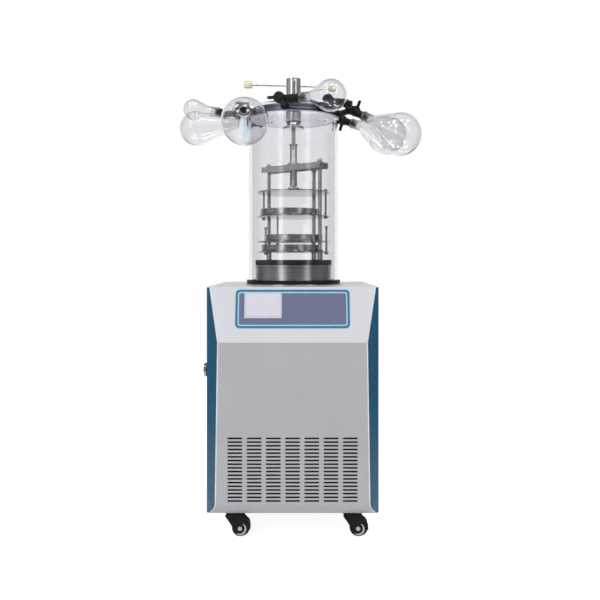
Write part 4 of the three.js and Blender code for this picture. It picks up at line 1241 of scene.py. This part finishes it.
def valve_frame(port, outlet, rise, knob, lever):
    """The valve's own frame, in millimetres from the chamber's axis."""
    face, flow = direction(knob), direction(outlet, rise)
    up = face.cross(flow).normalized()
    if up.z < 0:
        up.negate()
    arm = {"back": -flow, "up": up, "down": -up}[lever]
    axes = Matrix((arm, face.cross(arm), face)).transposed().to_4x4()
    return Matrix.Translation(valve_centre(port)) @ axes


def valve_shapes(port, outlet, rise):
    """The plug that goes into the ring, and the outlet with its nozzle."""
    centre = valve_centre(port)
    to_ring = Vector((*polar(port, ring_outside), port_z)) - centre
    reach = to_ring.length
    plug = spun([(0, 0), (10.6, 0), (10.2, 18, 6), (10.2, reach - 15, 4), (13.6, reach - 10.5, 1.5),
                 (13.6, reach - 8, 1), (6.4, reach - 8), (6.4, reach + 7, 1), (0, reach + 7)], 32)
    nozzle = spun([(0, 0), (12, 0), (12, 30, 3), (12.9, 33, 1), (12.9, 36, 1), (12, 38, 1),
                   (12, 50, 1), (13.8, 53, 1), (13.8, 59.6, 1), (11.4, 59.7), (11.2, 66),
                   (10.4, 74.8, 1), (0, 74.8)], 40)
    return [aimed(plug, centre, to_ring.normalized()),
            aimed(nozzle, centre, direction(outlet, rise))]


barrel = spun([(0, -18), (12, -18, 1), (15.8, -15, 3), (15.8, 13.5, 1), (14.4, 14.5, 0.5),
               (14.4, 16, 0.5), (15.8, 17, 0.5), (15.8, 18, 0.5), (5.3, 18), (5.3, 4), (0, 4)], 48)
print("valves:", list(valves))

# %% Knobs with their levers
ribs, rib_steps, knob_radius, rib_depth = 20, 6, 18, 0.9


def knob_shapes():
    """A ribbed disc, a domed cap and a lever with a rounded end."""
    steps = ribs * rib_steps
    ribbed = []
    for step in range(steps):
        turn = math.tau * step / steps
        radius = knob_radius - (rib_depth if step % rib_steps < rib_steps / 2 else 0)
        ribbed.append((radius * math.cos(turn), radius * math.sin(turn)))
    cap = spun([(0, 26), (15.5, 26), (15.5, 28, 1), (12.5, 30.2, 1.5), (9, 30.2, 1), (8, 29, 0.5),
                (0, 29)], 48)
    lever = rounded([(-4, -5, 2), (30, -4.4, 1), (38, -4, 4), (38, 4, 4), (30, 4.4, 1),
                     (-4, 5, 2)], 5)
    rib = rounded([(2, -1.2), (34, -1, 1), (34, 1, 1), (2, 1.2)])
    return [plate(ribbed, [], 18.4, 26.5, 0.35), cap, plate(lever, [], 20.4, 28.2, 1.1),
            plate(rib, [], 28, 30, 0.5), bar(5, 4.2, 19, 0.4)]


for valve, (port, outlet, rise, knob, lever, _, _) in valves.items():
    own = valve_frame(port, outlet, rise, knob, lever)
    piece(f"valve_elbow_{valve}", [moved(barrel, own), *valve_shapes(port, outlet, rise)],
          valve_rubber, f"valve_body_{valve}")
    piece(f"valve_tap_{valve}", [moved(shape, own) for shape in knob_shapes()], valve_plastic,
          f"valve_knob_{valve}")
print("valve faces:", face_count["valve_elbow_left"])

# %% [markdown]
# ## Flasks
# A flask is a thin shell: a straight neck, a cone and a round bulb, with an inner wall 2.4 mm
# inside the outer. The neck is ground on the inside and out, and so gets the frosted finish, and
# its mouth has a thickened lip. The large flask in front has a label baked on its underside, half
# white and half cyan; it stays blank here.

# %% One flask's outline
glass_wall, neck_radius, neck_length, flask_steps = 2.4, 16.3, 38, 72
ground_end = neck_length - 4
# The glass stays this far inside the measured bulb.
bulb_margin = 1.3


def cone_end(radius, reach, neck):
    """Where the straight cone meets the round bulb: the angle on the bulb, and the point."""
    tilt = math.atan2(neck, neck_length - reach)
    shoulder = tilt - math.acos(radius / math.hypot(neck, neck_length - reach))
    return shoulder, (radius * math.sin(shoulder), reach + radius * math.cos(shoulder))


def bulb_side(bulb, reach, shrink, neck, start, count=26):
    """One wall from the mouth to the bottom: neck, straight cone, round bulb."""
    radius = bulb - shrink
    shoulder, joint = cone_end(radius, reach, neck)
    smooth_bend = rounded([(neck, start), (neck, neck_length, 9), joint], 6)[1:-1]
    curve = [(neck, start), (neck, (start + neck_length) / 2), *smooth_bend]
    for step in range(count):
        angle = shoulder * (1 - step / count)
        curve.append((radius * math.sin(angle), reach + radius * math.cos(angle)))
    return [*curve, (0, reach + radius)]


def flask_shape(bulb, reach):
    outside = bulb_side(bulb, reach, bulb_margin, neck_radius, 3.4)
    inside = bulb_side(bulb, reach, bulb_margin + glass_wall, neck_radius - glass_wall, 21)
    lip = [(12.2, 0.3), (16.6, 0.3), (17.2, 1.2), (17.2, 2.4), (16.6, 3.2)]
    outline = lip + outside + inside[::-1] + [(12.2, 17)]
    marks = [1 if max(z, after) <= ground_end else 0
             for (_, z), (_, after) in zip(outline, outline[1:] + outline[:1])]
    return turned(outline, flask_steps, marks)


# %% A blank label
# The label's enamel glows: painted light that keeps it bright behind two walls of glass.
enamel_glow = (0.80, 0.86, 0.90)
white_enamel_with_painted_glow = lit(moulded("white enamel with painted glow", (0.90, 0.91, 0.93), 0.3, 300, 0.02), enamel_glow, 0.55)
cyan_enamel_with_painted_glow = lit(moulded("pale cyan enamel with painted glow", (0.52, 0.84, 0.87), 0.3, 300, 0.02), enamel_glow, 0.4)
label_start, label_span, label_middle = 0.08, 0.88, -94
label_width, label_taper, label_under, label_over = 5.2, 0.21, 0.1, 0.3


def label(bulb, reach, first, last, levels=6, steps=6):
    """A patch baked on the underside of a flask's cone, 0.2 mm thick, wider towards the bulb."""
    neck = Vector((neck_radius, neck_length))
    joint = Vector(cone_end(bulb - bulb_margin, reach, neck_radius)[1])
    points = []
    for level in range(levels + 1):
        r, z = neck.lerp(joint, label_start + label_span * level / levels)
        half = math.degrees((label_width + label_taper * r) / r)
        for step in range(steps + 1):
            angle = label_middle + half * (first + (last - first) * step / steps)
            points += [(*polar(angle, r + proud), z) for proud in (label_under, label_over)]
    row = 2 * (steps + 1)
    faces = []
    for start in range(0, levels * row, row):
        for a in range(start, start + row - 2, 2):
            faces += [(a, a + row, a + row + 2, a + 2), (a + 1, a + 3, a + row + 3, a + row + 1)]
        a, b = start, start + row - 2
        faces += [(a, a + 1, a + row + 1, a + row), (b, b + row, b + row + 1, b + 1)]
    for start in (0, levels * row):
        faces += [(a, a + 2, a + 3, a + 1) for a in range(start, start + row - 2, 2)]
    return points, faces, [0] * len(faces)


print("label finishes ready")

# %% The six flasks
for valve, (port, outlet, rise, _, _, bulb, reach) in valves.items():
    if bulb is None:
        continue
    flow = direction(outlet, rise)
    mouth = valve_centre(port) + flow * outlet_length
    shapes = [flask_shape(bulb, reach)]
    if valve == "front_left":
        shapes += [marked(label(bulb, reach, -1, 0), 2), marked(label(bulb, reach, 0, 1), 3)]
    piece(f"glass_{valve}", [aimed(shape, mouth, flow) for shape in shapes],
          [flask_glass, frosted_glass, white_enamel_with_painted_glow, cyan_enamel_with_painted_glow], f"flask_{valve}", sharp=60)
print("flask faces:", face_count["glass_front"])

# %% [markdown]
# ## Inside the cabinet and on its back
# Little of this shows: the condenser's fins through the front slots, the vacuum port on the left
# side, and the power inlet and screws on the back. They are still worth their edges, because the
# part may be seen from any side and its doors and panels may be taken away.

# %% Vacuum port
side_port = spun([(9, -16), (12, -16, 0.5), (12, 0.3), (20, 0.3), (20, 4, 1), (12.2, 4, 0.5),
                  (12, 23), (16, 24, 1), (22.8, 26.5, 0.6), (22.8, 33.9, 0.8), (13, 33.9),
                  (11, 32.4, 0.5), (9, 32.4)], 64)
out_of_side = Matrix.Translation((-259, -60, 474)) @ turn_about("Y", -90)
piece("side_port", [moved(side_port, out_of_side)], port_steel, "vacuum_port")
print("port faces:", face_count["side_port"])

# %% Compressor, condenser and fan
can_x, can_y, foot_reach = -120, 110, 68
can = turned(rounded([(0, 92.3), (62, 92.3), (77.8, 111, 14), (77.8, 176), (78, 178), (78, 183),
                      (77.8, 185), (77.8, 243, 16), (66, 272, 16), (36, 289, 8),
                      (0, 289.3)], 6), 96)
base = plate(soft([(-82, -82), (82, -82), (82, 82), (-82, 82)], 12), [], 89.4, 93.3, 0.5)
foot = spun([(0, 77.4), (10.8, 77.4, 1), (10.8, 82), (8.5, 83.5), (10.8, 85), (10.8, 91),
             (0, 91)], 32)
feet_at = [(can_x + right * foot_reach, can_y + back * foot_reach)
           for right, back in ((-1, -1), (1, -1), (1, 1), (-1, 1))]
compressor = spread([can, base], [(can_x, can_y)]) + spread([marked(foot, 1)], feet_at)
piece("compressor_can", compressor, [black_enamel, seal_rubber], "compressor")
# The condenser and its shroud take the near-black core finish, which is painted shade.
softened("condenser_and_shroud", "condenser", core_metal_darkened_as_shade, 0.6)
softened("cooling_fan", "fan_rotor", fan_plastic, 0.5)
print("compressor faces:", face_count["compressor_can"])

# %% Screws that hold the panels
domed_head = spun([(0, -0.3), (3.5, -0.3), (3.5, 0.5, 0.4), (2.2, 1.6, 0.9), (0, 1.9)], 24)
heads = [aimed(domed_head, (x, 300, z), (0, 1, 0)) for x in (-240, 0, 240) for z in (100, 420, 735)]
heads += [aimed(domed_head, (side * 259, y, z), (side, 0, 0))
          for side in (-1, 1) for y in (-215, 270) for z in (95, 730)]
piece("panel_screws", heads, satin_steel, body="cabinet")
print("screw heads:", len(heads))

# %% [markdown]
# ## Finishing
# The box of the dressed model has to be the box of the measured one. How far each corner grew
# is printed for comparison.

# %% Sizes, and how far they grew
visual_box = [list(corner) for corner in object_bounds()]
for corner, grown, measured in zip(("low", "high"), visual_box, cad_box):
    growth = [round((a - b) / MM, 2) for a, b in zip(grown, measured)]
    print(f"grown at the {corner} corner, in mm:", growth)
